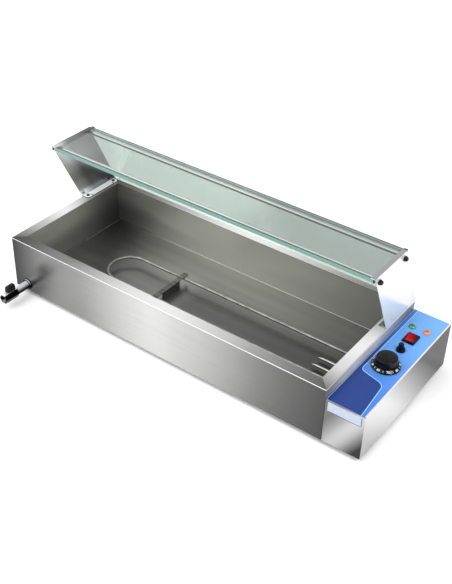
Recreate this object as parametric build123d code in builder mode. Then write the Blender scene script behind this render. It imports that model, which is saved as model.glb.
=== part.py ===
from build123d import *
from math import atan2, cos, degrees, radians, sin
import os

os.makedirs("parts", exist_ok=True)

# Countertop wet-heat bain marie: a long steel well with a hairpin heater,
# a drain tap at the front left, a control box on the right end and a glass
# guard on two leaning end panels. Millimetres, +X to the right, +Y to the
# back, +Z up. The origin is under the middle of the whole object.

# Driving sizes: casing and well
casing_length = 828
casing_depth = 355
casing_height = 128
rim_width = 25
well_depth = 103
sheet = 1.0
fold_radius = 1.8
hem_width = 14
well_lip = 12
well_corner_radius = 2.4

# Driving sizes: base plate, feet and screws
base_sheet = 1.0
base_inset = 3
foot_height = 10
foot_radius = 15
foot_taper = 2.5
foot_inset = 50
foot_recess_radius = 6.5
foot_recess_depth = 6
foot_screw_radius = 2
screw_radius = 1.7
screw_head_radius = 3.6
screw_head_height = 2.2
screw_length = 6
screw_clearance = 0.2
base_screw_columns = 4

# Driving sizes: control box
box_length = 86.5
box_height = 106.5
overlay_thickness = 0.4
overlay_right_margin = 3.6
label_length = 73
label_height = 23
label_thickness = 0.6
label_drop = 2.8
label_corner_radius = 1.5

# Driving sizes: hairpin heater and its bracket
tube_diameter = 6.5
heater_rise = 17.5
heater_spread = 98
heater_middle = 161
loop_centre = 206
cold_end_length = 9
pin_radius = 1.6
pin_length = 14
bead_radius = 2.8
bead_length = 4
bush_flange_radius = 8.5
bush_flange_length = 3
bush_thread_radius = 5.5
bush_thread_length = 12
element_gasket_thickness = 1.5
bush_nut_width = 17
bush_nut_length = 5
bracket_position = 323
bracket_width = 12
bracket_sheet = 1.2
bracket_overhang = 15
bracket_lip = 7
bracket_foot = 9

# Driving sizes: sensing bulbs and their tubes
bulb_radius = 3
bulb_length = 88
bulb_tip_length = 9
bulb_tip_radius = 0.6
bulb_rise = 8
bulb_spacing = 26
bulb_middle = 160
gland_flange_radius = 5.5
gland_flange_length = 3
gland_thread_radius = 3.6
gland_thread_length = 10
gland_nut_width = 11
gland_nut_length = 4
capillary_radius = 1.0
capillary_bend = 6

# Driving sizes: controls on the panel
skirt_radius = 29.5
skirt_edge = 2.5
skirt_height = 7
skirt_shoulder_radius = 24.5
cap_radius = 23
cap_height = 24
cap_top_radius = 21.5
cap_crown = 2
cap_rounding = 2.4
knob_hollow_radius = 20
knob_hollow_depth = 6
knob_hub_radius = 6.5
knob_gap = 0.8
spindle_radius = 3
spindle_flat = 2.2
spindle_depth = 9
spindle_engagement = 14
thermostat_length = 46
thermostat_width = 36
thermostat_height = 30
thermostat_screw_step = 28
collar_radius = 10
collar_height = 6
collar_taper = 1.6
button_radius = 6.2
button_height = 17
button_taper = 0.8
button_rounding = 2
button_travel = 3
button_stem_radius = 3
limiter_length = 26
limiter_height = 26
neck_radius = 5
neck_rise = 1.0
bezel_width = 27
bezel_length = 33
bezel_height = 4.5
bezel_taper = 1.5
switch_depth = 22
switch_wall = 1.4
rocker_radius = 13.5
rocker_width = 19.6
rocker_pivot_drop = 2
rocker_crown = 4
rocker_slope = 12
rocker_tilt = 9
rocker_bottom = 8
trunnion_radius = 1.4
trunnion_length = 1.1
lamp_position = 296
lamp_spacing = 33
lamps_to_switch = 14.2
switch_to_reset = 17
reset_to_knob = 20.5
lens_radius = 7.8
lens_edge = 2
lens_height = 6
lamp_body_radius = 5
lamp_body_length = 24

# Driving sizes: supply side of the control box
gland_height = 32
cable_bore_radius = 4.2
gland_hex_width = 22
gland_hex_length = 6
gland_cap_radius = 9.8
gland_cap_length = 12
gland_thread_wall = 3.4
gland_thread_reach = 9
gland_lock_length = 4
block_length = 44
block_width = 18
block_height = 14
block_ways = 4
block_position = 70

# Driving sizes: drain and tap
tap_position = 37.5
tap_height = 16.5
drain_position = 47
sump_radius = 9
sump_wall = 1.3
sump_depth = 16
socket_radius = 7.4
socket_length = 8
nipple_radius = 6.4
nipple_engagement = 10
bore_radius = 4.6
gasket_radius = 13.3
gasket_thickness = 1.5
rosette_radius = 12.6
rosette_thickness = 2.5
barrel_radius = 9.5
barrel_length = 34
hex_width = 22
hex_length = 30
outlet_width = 21
outlet_length = 8
outlet_bevel = 1
mouth_radius = 7
mouth_depth = 9
ball_radius = 7
seat_length = 2.2
cavity_radius = 8
stem_radius = 2.5
tang_width = 3
tang_depth = 2
bonnet_radius = 5.4
bonnet_height = 2.3
lever_width = 14
lever_height = 12
lever_length = 25
lever_rounding = 1.5
lever_taper = 7
lever_skin = 3

# Driving sizes: glass guard
guard_height = 169
guard_base_depth = 125
guard_lean = 84.5
panel_sheet = 1.2
top_flange = 11
foot_flange = 18
foot_flange_setback = 3
foot_flange_length = 108
foot_flange_corner = 8
notch_width = 3
notch_depth = 6
notch_position = 17
panel_screw_radius = 2
panel_screw_head = 4
panel_screw_inset = 9
glass_thickness = 8
glass_end_gap = 0.6
top_glass_front = 1
top_glass_back = 4.5
rear_glass_setback = 1
rod_radius = 4
rod_drop = 13.6
rod_stud_radius = 2.5
front_rod_inset = 10
back_rod_inset = 15
cap_nut_width = 10
cap_nut_length = 8
cap_nut_skirt = 4
cap_nut_dome_radius = 4.6
front_cap_length = 3
front_cap_depth = 1
back_cap_length = 8
back_cap_depth = 2.5
glass_chamfer = 0.5

# Named clearances
running_fit = 0.05
part_gap = 0.3
hole_clearance = 0.4

# Where the main surfaces lie
tap_reach = gasket_thickness + rosette_thickness + barrel_length + hex_length + outlet_length
overall_length = cap_nut_length + casing_length + box_length
overall_depth = tap_reach + casing_depth + gland_hex_length + gland_cap_length
left = cap_nut_length - overall_length / 2
right = left + casing_length
box_right = right + box_length
front = tap_reach - overall_depth / 2
back = front + casing_depth
casing_middle = (left + right) / 2
depth_middle = (front + back) / 2
box_middle = (right + box_right) / 2
casing_bottom = foot_height + base_sheet
casing_top = casing_bottom + casing_height
box_top = casing_bottom + box_height
panel_face = box_top + overlay_thickness
well_floor = casing_top - well_depth
well_length = casing_length - 2 * rim_width
well_width = casing_depth - 2 * rim_width
well_right = right - rim_width
guard_top = casing_top + guard_height


def dome(edge, axis_x, height):
    """An arc from an edge point up to the turning axis, centred on that axis."""
    half_width = edge.X - axis_x
    radius = (half_width**2 + height**2) / (2 * height)
    start = degrees(atan2(radius - height, half_width))
    return CenterArc((axis_x, edge.Y + height - radius), radius, start, 90 - start)


def upright(x, y, z):
    """A work plane at a point, seen from above."""
    return Plane(origin=(x, y, z), x_dir=(1, 0, 0), z_dir=(0, 0, 1))


def facing_front(x, y, z):
    """A work plane at a point, facing the front: its own y is up."""
    return Plane(origin=(x, y, z), x_dir=(1, 0, 0), z_dir=(0, -1, 0))


def facing_right(x, y, z):
    """A work plane at a point, facing the right: its own x is back, its y up."""
    return Plane(origin=(x, y, z), x_dir=(0, 1, 0), z_dir=(1, 0, 0))


# Outer casing: one folded skin with the rim, open below, with an inward hem
heater_height = well_floor + heater_rise
bulb_height = well_floor + bulb_rise
near_leg = front + heater_middle - heater_spread / 2
far_leg = front + heater_middle + heater_spread / 2
window_margin = bush_nut_width / 2 + 4
window_width = heater_spread + 2 * window_margin
window_height = 2 * (heater_rise + 2)
tap_z = casing_bottom + tap_height
tap_x = left + tap_position
screw_rows = casing_depth - hem_width
screw_step = (casing_length - hem_width) / (base_screw_columns - 1)
foot_middle = back - guard_base_depth + foot_flange_setback + foot_flange_length / 2
panel_screw_step = foot_flange_length - 2 * panel_screw_inset
box_screw_step = box_length - hem_width

with BuildPart() as outer_casing:
    with BuildSketch(upright(casing_middle, depth_middle, casing_bottom)):
        Rectangle(casing_length, casing_depth)
    extrude(amount=casing_height)
    rim_edges = outer_casing.faces().sort_by(Axis.Z)[-1].edges()
    fillet(rim_edges + outer_casing.edges().filter_by(Axis.Z), fold_radius)
    with BuildSketch(upright(casing_middle, depth_middle, casing_bottom)):
        Rectangle(casing_length - 2 * sheet, casing_depth - 2 * sheet)
    extrude(amount=casing_height - sheet, mode=Mode.SUBTRACT)
    with BuildSketch(upright(casing_middle, depth_middle, casing_top)):
        Rectangle(well_length, well_width)
    extrude(amount=-sheet, mode=Mode.SUBTRACT)
    # Inward hem along the bottom, which takes the base screws
    with BuildSketch(upright(casing_middle, depth_middle, casing_bottom)):
        Rectangle(casing_length - sheet, casing_depth - sheet)
        Rectangle(casing_length - 2 * hem_width, casing_depth - 2 * hem_width, mode=Mode.SUBTRACT)
        with GridLocations(screw_step, screw_rows, base_screw_columns, 2):
            Circle(screw_radius + screw_clearance, mode=Mode.SUBTRACT)
    extrude(amount=sheet)
    # Window to the control box for the heater ends and the sensing tubes
    with BuildSketch(facing_right(right, front + heater_middle, heater_height)):
        Rectangle(window_width, window_height)
    extrude(amount=-sheet, mode=Mode.SUBTRACT)
    # Hole for the tap
    with BuildSketch(facing_front(tap_x, front, tap_z)):
        Circle(nipple_radius + hole_clearance)
    extrude(amount=-sheet, mode=Mode.SUBTRACT)
    # Holes for the guard's screws in both ends of the rim
    for hole_x in (left + foot_flange - panel_screw_inset, right - foot_flange + panel_screw_inset):
        with BuildSketch(upright(hole_x, foot_middle, casing_top)):
            with GridLocations(0, panel_screw_step, 1, 2):
                Circle(panel_screw_radius + screw_clearance)
        extrude(amount=-sheet, mode=Mode.SUBTRACT)
outer_casing.part.label = "outer_casing"
export_step(outer_casing.part, "parts/outer_casing.step")

# Well: a pressed pan hung under the rim by a lip
lip_top = casing_top - sheet
heater_legs = [near_leg, far_leg]
bulb_lines = [front + bulb_middle - bulb_spacing / 2, front + bulb_middle + bulb_spacing / 2]

with BuildPart() as well_hollow:
    with BuildSketch(upright(casing_middle, depth_middle, lip_top)):
        Rectangle(well_length, well_width)
    extrude(amount=-(well_depth - sheet))
    fillet(well_hollow.faces().sort_by(Axis.Z)[0].edges(), well_corner_radius)

with BuildPart() as well_tank:
    with BuildSketch(upright(casing_middle, depth_middle, lip_top)):
        Rectangle(well_length + 2 * sheet, well_width + 2 * sheet)
    extrude(amount=-(well_depth - sheet) - sheet)
    fillet(well_tank.faces().sort_by(Axis.Z)[0].edges(), well_corner_radius + sheet)
    with BuildSketch(upright(casing_middle, depth_middle, lip_top)):
        Rectangle(well_length + 2 * well_lip, well_width + 2 * well_lip)
    extrude(amount=-sheet)
    add(well_hollow.part, mode=Mode.SUBTRACT)
    for leg in heater_legs:
        with BuildSketch(facing_right(well_right, leg, heater_height)):
            Circle(bush_thread_radius + hole_clearance)
        extrude(amount=sheet, mode=Mode.SUBTRACT)
    for line in bulb_lines:
        with BuildSketch(facing_right(well_right, line, bulb_height)):
            Circle(gland_thread_radius + hole_clearance)
        extrude(amount=sheet, mode=Mode.SUBTRACT)
    with BuildSketch(upright(tap_x, front + drain_position, well_floor)):
        Circle(sump_radius - sump_wall)
    extrude(amount=-sheet, mode=Mode.SUBTRACT)
well_tank.part.label = "well_tank"
export_step(well_tank.part, "parts/well_tank.step")

# Base plate under the casing
feet_across = casing_length - 2 * foot_inset
feet_deep = casing_depth - 2 * foot_inset

with BuildPart() as base_plate:
    with BuildSketch(upright(casing_middle, depth_middle, foot_height)):
        Rectangle(casing_length - 2 * base_inset, casing_depth - 2 * base_inset)
        with GridLocations(screw_step, screw_rows, base_screw_columns, 2):
            Circle(screw_radius + screw_clearance, mode=Mode.SUBTRACT)
        with GridLocations(feet_across, feet_deep, 2, 2):
            Circle(foot_screw_radius + screw_clearance, mode=Mode.SUBTRACT)
    extrude(amount=base_sheet)
base_plate.part.label = "base_plate"
export_step(base_plate.part, "parts/base_plate.step")


def pan_screws(seat, spots, shank, head, length):
    """Pan-head screws whose heads lie behind the seat and whose shanks point along its normal."""
    with BuildPart() as screws:
        with BuildSketch(seat):
            with Locations(*spots):
                Circle(head)
        extrude(amount=-screw_head_height)
        crowns = screws.edges().group_by(Axis(seat.origin, seat.z_dir))[0]
        fillet(crowns, screw_head_height / 2)
        with BuildSketch(seat):
            with Locations(*spots):
                Circle(shank)
        extrude(amount=length)
    return screws


base_screw_spots = [
    (screw_step * (column - (base_screw_columns - 1) / 2), row * screw_rows / 2)
    for column in range(base_screw_columns)
    for row in (-1, 1)
]
base_screws = pan_screws(
    upright(casing_middle, depth_middle, foot_height),
    base_screw_spots,
    screw_radius,
    screw_head_radius,
    screw_length,
)
base_screws.part.label = "base_screws"
export_step(base_screws.part, "parts/base_screws.step")

# Rubber feet, each with a recess for its screw
with BuildPart() as rubber_feet:
    with BuildSketch(upright(casing_middle, depth_middle, foot_height)):
        with GridLocations(feet_across, feet_deep, 2, 2):
            Circle(foot_radius)
    extrude(amount=-foot_height, taper=degrees(atan2(foot_taper, foot_height)))
    with BuildSketch(upright(casing_middle, depth_middle, 0)):
        with GridLocations(feet_across, feet_deep, 2, 2):
            Circle(foot_recess_radius)
    extrude(amount=foot_recess_depth, mode=Mode.SUBTRACT)
    with BuildSketch(upright(casing_middle, depth_middle, 0)):
        with GridLocations(feet_across, feet_deep, 2, 2):
            Circle(foot_screw_radius + screw_clearance)
    extrude(amount=foot_height, mode=Mode.SUBTRACT)
rubber_feet.part.label = "rubber_feet"
export_step(rubber_feet.part, "parts/rubber_feet.step")

foot_spots = [(i * feet_across / 2, j * feet_deep / 2) for i in (-1, 1) for j in (-1, 1)]
foot_screws = pan_screws(
    upright(casing_middle, depth_middle, foot_recess_depth),
    foot_spots,
    foot_screw_radius,
    screw_head_radius,
    foot_height - foot_recess_depth + base_sheet + screw_length / 2,
)
foot_screws.part.label = "foot_screws"
export_step(foot_screws.part, "parts/foot_screws.step")

# Hairpin heater: two straight legs and one round bend, flat above the floor
cold_end = right + cold_end_length

with BuildPart() as heating_element:
    with BuildLine(Plane.XY.offset(heater_height)):
        near_run = Line((cold_end, near_leg), (left + loop_centre, near_leg))
        bend = JernArc(near_run @ 1, near_run % 1, heater_spread / 2, -180)
        Line(bend @ 1, (cold_end, far_leg))
    with BuildSketch(Plane(origin=near_run @ 0, z_dir=near_run % 0)):
        Circle(tube_diameter / 2)
    sweep()
heating_element.part.label = "heating_element"
export_step(heating_element.part, "parts/heating_element.step")

# Terminal pins in ceramic beads at the heater's cold ends
with BuildPart() as element_terminals:
    for leg in heater_legs:
        with BuildSketch(facing_right(cold_end, leg, heater_height)):
            Circle(bead_radius)
        extrude(amount=bead_length)
        with BuildSketch(facing_right(cold_end + bead_length, leg, heater_height)):
            Circle(pin_radius)
        extrude(amount=pin_length)
element_terminals.part.label = "element_terminals"
export_step(element_terminals.part, "parts/element_terminals.step")

# Flanged bushes that carry the heater in the well's right wall
bush_face = well_right - element_gasket_thickness

with BuildPart() as element_bushes:
    for leg in heater_legs:
        with BuildSketch(facing_right(bush_face, leg, heater_height)):
            Circle(bush_flange_radius)
        extrude(amount=-bush_flange_length)
        with BuildSketch(facing_right(bush_face, leg, heater_height)):
            Circle(bush_thread_radius)
        extrude(amount=bush_thread_length)
        with BuildSketch(facing_right(bush_face - bush_flange_length, leg, heater_height)):
            Circle(tube_diameter / 2 + running_fit)
        extrude(amount=bush_flange_length + bush_thread_length, mode=Mode.SUBTRACT)
element_bushes.part.label = "element_bushes"
export_step(element_bushes.part, "parts/element_bushes.step")

with BuildPart() as element_gaskets:
    for leg in heater_legs:
        with BuildSketch(facing_right(bush_face, leg, heater_height)):
            Circle(bush_flange_radius)
            Circle(bush_thread_radius + running_fit, mode=Mode.SUBTRACT)
        extrude(amount=element_gasket_thickness)
element_gaskets.part.label = "element_gaskets"
export_step(element_gaskets.part, "parts/element_gaskets.step")

with BuildPart() as element_nuts:
    for leg in heater_legs:
        with BuildSketch(facing_right(well_right + sheet, leg, heater_height)):
            RegularPolygon(bush_nut_width / 2, 6, major_radius=False)
            Circle(bush_thread_radius + running_fit, mode=Mode.SUBTRACT)
        extrude(amount=bush_nut_length)
element_nuts.part.label = "element_nuts"
export_step(element_nuts.part, "parts/element_nuts.step")

# Bracket: a strap over both legs, lips turned down outside them, and a web
# between the legs that stands on a foot on the well's floor
bracket_x = left + bracket_position
strap_bottom = heater_height + tube_diameter / 2 + part_gap
strap_length = heater_spread + 2 * bracket_overhang
web_length = heater_spread - tube_diameter - 2 * bracket_overhang
foot_bottom = well_floor

with BuildPart() as element_bracket:
    with BuildSketch(upright(bracket_x, front + heater_middle, strap_bottom)):
        RectangleRounded(bracket_width, strap_length, bracket_width / 4)
    extrude(amount=bracket_sheet)
    lip_y = strap_length / 2 - bracket_sheet / 2
    with BuildSketch(upright(bracket_x, front + heater_middle, strap_bottom)):
        with Locations((0, -lip_y), (0, lip_y)):
            Rectangle(bracket_width / 2, bracket_sheet)
    extrude(amount=-bracket_lip)
    with BuildSketch(upright(bracket_x, front + heater_middle, foot_bottom)):
        with Locations(((bracket_width - bracket_sheet) / 2, 0)):
            Rectangle(bracket_sheet, web_length)
    extrude(amount=strap_bottom - foot_bottom)
    with BuildSketch(upright(bracket_x, front + heater_middle, foot_bottom)):
        with Locations(((bracket_width - bracket_foot) / 2, 0)):
            Rectangle(bracket_foot, web_length)
    extrude(amount=bracket_sheet)
element_bracket.part.label = "element_bracket"
export_step(element_bracket.part, "parts/element_bracket.step")


def sensing_bulb(line_y):
    """A pointed bulb that lies along the well from its gland in the right wall."""
    root = well_right - gland_flange_length
    with BuildPart() as bulb:
        with BuildSketch(Plane.XZ.offset(-line_y)):
            with BuildLine():
                Polyline(
                    (root, bulb_height),
                    (root, bulb_height + bulb_radius),
                    (root - bulb_length + bulb_tip_length, bulb_height + bulb_radius),
                    (root - bulb_length, bulb_height + bulb_tip_radius),
                    (root - bulb_length, bulb_height),
                    close=True,
                )
            make_face()
        revolve(axis=Axis((root, line_y, bulb_height), (1, 0, 0)))
    return bulb


thermostat_bulb = sensing_bulb(bulb_lines[0])
thermostat_bulb.part.label = "thermostat_bulb"
export_step(thermostat_bulb.part, "parts/thermostat_bulb.step")

limiter_bulb = sensing_bulb(bulb_lines[1])
limiter_bulb.part.label = "limiter_bulb"
export_step(limiter_bulb.part, "parts/limiter_bulb.step")

with BuildPart() as bulb_glands:
    for line in bulb_lines:
        with BuildSketch(facing_right(well_right, line, bulb_height)):
            Circle(gland_flange_radius)
        extrude(amount=-gland_flange_length)
        with BuildSketch(facing_right(well_right, line, bulb_height)):
            Circle(gland_thread_radius)
        extrude(amount=gland_thread_length)
        with BuildSketch(facing_right(well_right - gland_flange_length, line, bulb_height)):
            Circle(capillary_radius + running_fit)
        extrude(amount=gland_flange_length + gland_thread_length, mode=Mode.SUBTRACT)
bulb_glands.part.label = "bulb_glands"
export_step(bulb_glands.part, "parts/bulb_glands.step")

with BuildPart() as bulb_gland_nuts:
    for line in bulb_lines:
        with BuildSketch(facing_right(well_right + sheet, line, bulb_height)):
            RegularPolygon(gland_nut_width / 2, 6, major_radius=False)
            Circle(gland_thread_radius + running_fit, mode=Mode.SUBTRACT)
        extrude(amount=gland_nut_length)
bulb_gland_nuts.part.label = "bulb_gland_nuts"
export_step(bulb_gland_nuts.part, "parts/bulb_gland_nuts.step")

# Control box: folded sheet, open below, with a window to the casing
lamp_y = front + lamp_position
switch_y = lamp_y - lens_radius - lamps_to_switch - bezel_length / 2
reset_y = switch_y - bezel_length / 2 - switch_to_reset - collar_radius
knob_y = reset_y - collar_radius - reset_to_knob - skirt_radius
cutout_width = rocker_width + 2 * (part_gap + switch_wall)
cutout_length = 2 * (rocker_radius + part_gap + switch_wall)
gland_z = casing_bottom + gland_height
cable_thread_radius = cable_bore_radius + gland_thread_wall


def panel_holes():
    """Outlines of the holes that the panel and its overlay share."""
    with Locations((0, knob_y - depth_middle)):
        Circle(spindle_radius + part_gap + sheet)
        with GridLocations(0, thermostat_screw_step, 1, 2):
            Circle(screw_radius + screw_clearance)
    with Locations((0, reset_y - depth_middle)):
        Circle(neck_radius + part_gap)
    with Locations((0, switch_y - depth_middle)):
        Rectangle(cutout_width + hole_clearance, cutout_length + hole_clearance)
    with Locations((0, lamp_y - depth_middle)):
        with GridLocations(lamp_spacing, 0, 2, 1):
            Circle(lamp_body_radius + part_gap)


with BuildPart() as control_box:
    with BuildSketch(upright(box_middle, depth_middle, casing_bottom)):
        Rectangle(box_length, casing_depth)
    extrude(amount=box_height)
    box_top_edges = control_box.faces().sort_by(Axis.Z)[-1].edges()
    fillet(box_top_edges + control_box.edges().filter_by(Axis.Z), fold_radius)
    with BuildSketch(upright(box_middle, depth_middle, casing_bottom)):
        Rectangle(box_length - 2 * sheet, casing_depth - 2 * sheet)
    extrude(amount=box_height - sheet, mode=Mode.SUBTRACT)
    with BuildSketch(upright(box_middle, depth_middle, casing_bottom)):
        Rectangle(box_length - sheet, casing_depth - sheet)
        Rectangle(box_length - 2 * hem_width, casing_depth - 2 * hem_width, mode=Mode.SUBTRACT)
        with GridLocations(box_screw_step, screw_rows, 2, 2):
            Circle(screw_radius + screw_clearance, mode=Mode.SUBTRACT)
    extrude(amount=sheet)
    with BuildSketch(facing_right(right, front + heater_middle, heater_height)):
        Rectangle(window_width, window_height)
    extrude(amount=sheet, mode=Mode.SUBTRACT)
    with BuildSketch(facing_front(box_middle, back, gland_z)):
        Circle(cable_thread_radius + part_gap)
    extrude(amount=sheet, mode=Mode.SUBTRACT)
    with BuildSketch(upright(box_middle, depth_middle, box_top)):
        panel_holes()
    extrude(amount=-sheet, mode=Mode.SUBTRACT)
control_box.part.label = "control_box"
export_step(control_box.part, "parts/control_box.step")

# Base of the control box, with its screws
with BuildPart() as control_box_base:
    with BuildSketch(upright(box_middle, depth_middle, foot_height)):
        Rectangle(box_length - 2 * base_inset, casing_depth - 2 * base_inset)
        with GridLocations(box_screw_step, screw_rows, 2, 2):
            Circle(screw_radius + screw_clearance, mode=Mode.SUBTRACT)
    extrude(amount=base_sheet)
control_box_base.part.label = "control_box_base"
export_step(control_box_base.part, "parts/control_box_base.step")

control_box_screws = pan_screws(
    upright(box_middle, depth_middle, foot_height),
    [(i * box_screw_step / 2, j * screw_rows / 2) for i in (-1, 1) for j in (-1, 1)],
    screw_radius,
    screw_head_radius,
    screw_length,
)
control_box_screws.part.label = "control_box_screws"
export_step(control_box_screws.part, "parts/control_box_screws.step")

# Printed overlay on the panel and the blank label on the front
overlay_left = right + fold_radius
overlay_right = box_right - overlay_right_margin
overlay_middle = (overlay_left + overlay_right) / 2

with BuildPart() as panel_overlay:
    with BuildSketch(upright(overlay_middle, depth_middle, box_top)):
        Rectangle(overlay_right - overlay_left, casing_depth - 2 * fold_radius)
    extrude(amount=overlay_thickness)
    with BuildSketch(upright(box_middle, depth_middle, box_top)):
        panel_holes()
    extrude(amount=overlay_thickness, mode=Mode.SUBTRACT)
panel_overlay.part.label = "panel_overlay"
export_step(panel_overlay.part, "parts/panel_overlay.step")

label_z = box_top - label_drop - label_height / 2

with BuildPart() as front_label:
    with BuildSketch(facing_front(box_middle, front, label_z)):
        RectangleRounded(label_length, label_height, label_corner_radius)
    extrude(amount=label_thickness)
front_label.part.label = "front_label"
export_step(front_label.part, "parts/front_label.step")

# Thermostat under the panel, its turning spindle and its two screws
under_panel = box_top - sheet
spindle_bottom = under_panel - spindle_depth
knob_bottom = panel_face + knob_gap
spindle_top = knob_bottom + spindle_engagement


def spindle_section(clearance):
    """The spindle's D-shaped section, grown by a clearance."""
    Circle(spindle_radius + clearance)
    with Locations((spindle_flat + clearance, 0)):
        Rectangle(2 * spindle_radius, 4 * spindle_radius, align=(Align.MIN, Align.CENTER), mode=Mode.SUBTRACT)


with BuildPart() as thermostat_body:
    with BuildSketch(upright(box_middle, knob_y, under_panel)):
        RectangleRounded(thermostat_width, thermostat_length, sheet)
    extrude(amount=-thermostat_height)
    with BuildSketch(upright(box_middle, knob_y, under_panel)):
        Circle(spindle_radius + running_fit)
    extrude(amount=-spindle_depth - part_gap, mode=Mode.SUBTRACT)
    with BuildSketch(upright(box_middle, knob_y, under_panel)):
        with GridLocations(0, thermostat_screw_step, 1, 2):
            Circle(screw_radius + running_fit)
    extrude(amount=-screw_length, mode=Mode.SUBTRACT)
thermostat_body.part.label = "thermostat_body"
export_step(thermostat_body.part, "parts/thermostat_body.step")

thermostat_screws = pan_screws(
    Plane(origin=(box_middle, knob_y, panel_face), x_dir=(1, 0, 0), z_dir=(0, 0, -1)),
    [(0, -thermostat_screw_step / 2), (0, thermostat_screw_step / 2)],
    screw_radius,
    screw_head_radius,
    screw_length,
)
thermostat_screws.part.label = "thermostat_screws"
export_step(thermostat_screws.part, "parts/thermostat_screws.step")

with BuildPart() as thermostat_spindle:
    with BuildSketch(upright(box_middle, knob_y, spindle_bottom)):
        Circle(spindle_radius)
    extrude(amount=spindle_depth + sheet)
    with BuildSketch(upright(box_middle, knob_y, under_panel + sheet)):
        spindle_section(0)
    extrude(amount=spindle_top - box_top)
thermostat_spindle.part.label = "thermostat_spindle"
export_step(thermostat_spindle.part, "parts/thermostat_spindle.step")

# Knob: a sloped skirt that carries the scale and a smooth domed cap, hollow below
with BuildPart() as thermostat_knob:
    with BuildSketch(Plane.XZ.offset(-knob_y)):
        with BuildLine():
            side = Polyline(
                (box_middle, knob_bottom),
                (box_middle + skirt_radius, knob_bottom),
                (box_middle + skirt_radius, knob_bottom + skirt_edge),
                (box_middle + skirt_shoulder_radius, knob_bottom + skirt_height),
                (box_middle + cap_radius, knob_bottom + skirt_height),
                (box_middle + cap_top_radius, knob_bottom + cap_height - cap_crown),
            )
            crown = dome(side @ 1, box_middle, cap_crown)
            Line(crown @ 1, side @ 0)
        make_face()
    revolve(axis=Axis((box_middle, knob_y, knob_bottom), (0, 0, 1)))
    rings = thermostat_knob.edges().filter_by(lambda edge: edge.is_closed)
    fillet(rings.sort_by(Axis.Z)[-1], cap_rounding)
    with BuildSketch(upright(box_middle, knob_y, knob_bottom)):
        Circle(knob_hollow_radius)
        Circle(knob_hub_radius, mode=Mode.SUBTRACT)
    extrude(amount=knob_hollow_depth, mode=Mode.SUBTRACT)
    with BuildSketch(upright(box_middle, knob_y, knob_bottom)):
        spindle_section(running_fit)
    extrude(amount=spindle_engagement, mode=Mode.SUBTRACT)
thermostat_knob.part.label = "thermostat_knob"
export_step(thermostat_knob.part, "parts/thermostat_knob.step")

# Safety limiter with its reset button in a tapered collar
neck_top = panel_face + neck_rise
button_bottom = neck_top + button_travel + part_gap
stem_bottom = under_panel - button_travel

with BuildPart() as limiter_body:
    with BuildSketch(upright(box_middle, reset_y, under_panel)):
        RectangleRounded(limiter_length, limiter_length, sheet)
    extrude(amount=-limiter_height)
    with BuildSketch(upright(box_middle, reset_y, under_panel)):
        Circle(neck_radius)
    extrude(amount=neck_top - under_panel)
    with BuildSketch(upright(box_middle, reset_y, neck_top)):
        Circle(button_stem_radius + running_fit)
    extrude(amount=stem_bottom - button_travel - part_gap - neck_top, mode=Mode.SUBTRACT)
limiter_body.part.label = "limiter_body"
export_step(limiter_body.part, "parts/limiter_body.step")

with BuildPart() as reset_collar:
    with BuildSketch(upright(box_middle, reset_y, panel_face)):
        Circle(collar_radius)
    extrude(amount=collar_height, taper=degrees(atan2(collar_taper, collar_height)))
    fillet(reset_collar.edges().filter_by(GeomType.CIRCLE).sort_by(Axis.Z)[-1], collar_taper / 2)
    with BuildSketch(upright(box_middle, reset_y, panel_face)):
        Circle(neck_radius + running_fit)
    extrude(amount=neck_rise, mode=Mode.SUBTRACT)
    with BuildSketch(upright(box_middle, reset_y, neck_top)):
        Circle(button_radius + part_gap)
    extrude(amount=collar_height, mode=Mode.SUBTRACT)
reset_collar.part.label = "reset_collar"
export_step(reset_collar.part, "parts/reset_collar.step")

with BuildPart() as reset_button:
    with BuildSketch(upright(box_middle, reset_y, button_bottom)):
        Circle(button_radius)
    extrude(
        amount=panel_face + button_height - button_bottom,
        taper=degrees(atan2(button_taper, button_height)),
    )
    fillet(reset_button.edges().filter_by(GeomType.CIRCLE).sort_by(Axis.Z)[-1], button_rounding)
    with BuildSketch(upright(box_middle, reset_y, button_bottom)):
        Circle(button_stem_radius)
    extrude(amount=stem_bottom - button_bottom)
reset_button.part.label = "reset_button"
export_step(reset_button.part, "parts/reset_button.step")

# Rocker switch: a bezel on the panel, a body below it and a rocker on trunnions
pivot_z = panel_face - rocker_pivot_drop
well_half_width = rocker_width / 2 + part_gap
rocker_plane = facing_right(box_middle, switch_y, pivot_z)

with BuildPart() as switch_housing:
    with BuildSketch(upright(box_middle, switch_y, panel_face)):
        RectangleRounded(bezel_width, bezel_length, bezel_taper)
    extrude(amount=bezel_height, taper=degrees(atan2(bezel_taper, bezel_height)))
    with BuildSketch(upright(box_middle, switch_y, panel_face)):
        Rectangle(cutout_width, cutout_length)
    extrude(amount=-switch_depth)
    with BuildSketch(rocker_plane):
        Circle(rocker_radius + part_gap)
    extrude(amount=well_half_width, both=True, mode=Mode.SUBTRACT)
    with BuildSketch(rocker_plane):
        Circle(trunnion_radius + running_fit)
    extrude(amount=rocker_width / 2 + trunnion_length + part_gap / 2, both=True, mode=Mode.SUBTRACT)
switch_housing.part.label = "switch_housing"
export_step(switch_housing.part, "parts/switch_housing.step")

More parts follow.
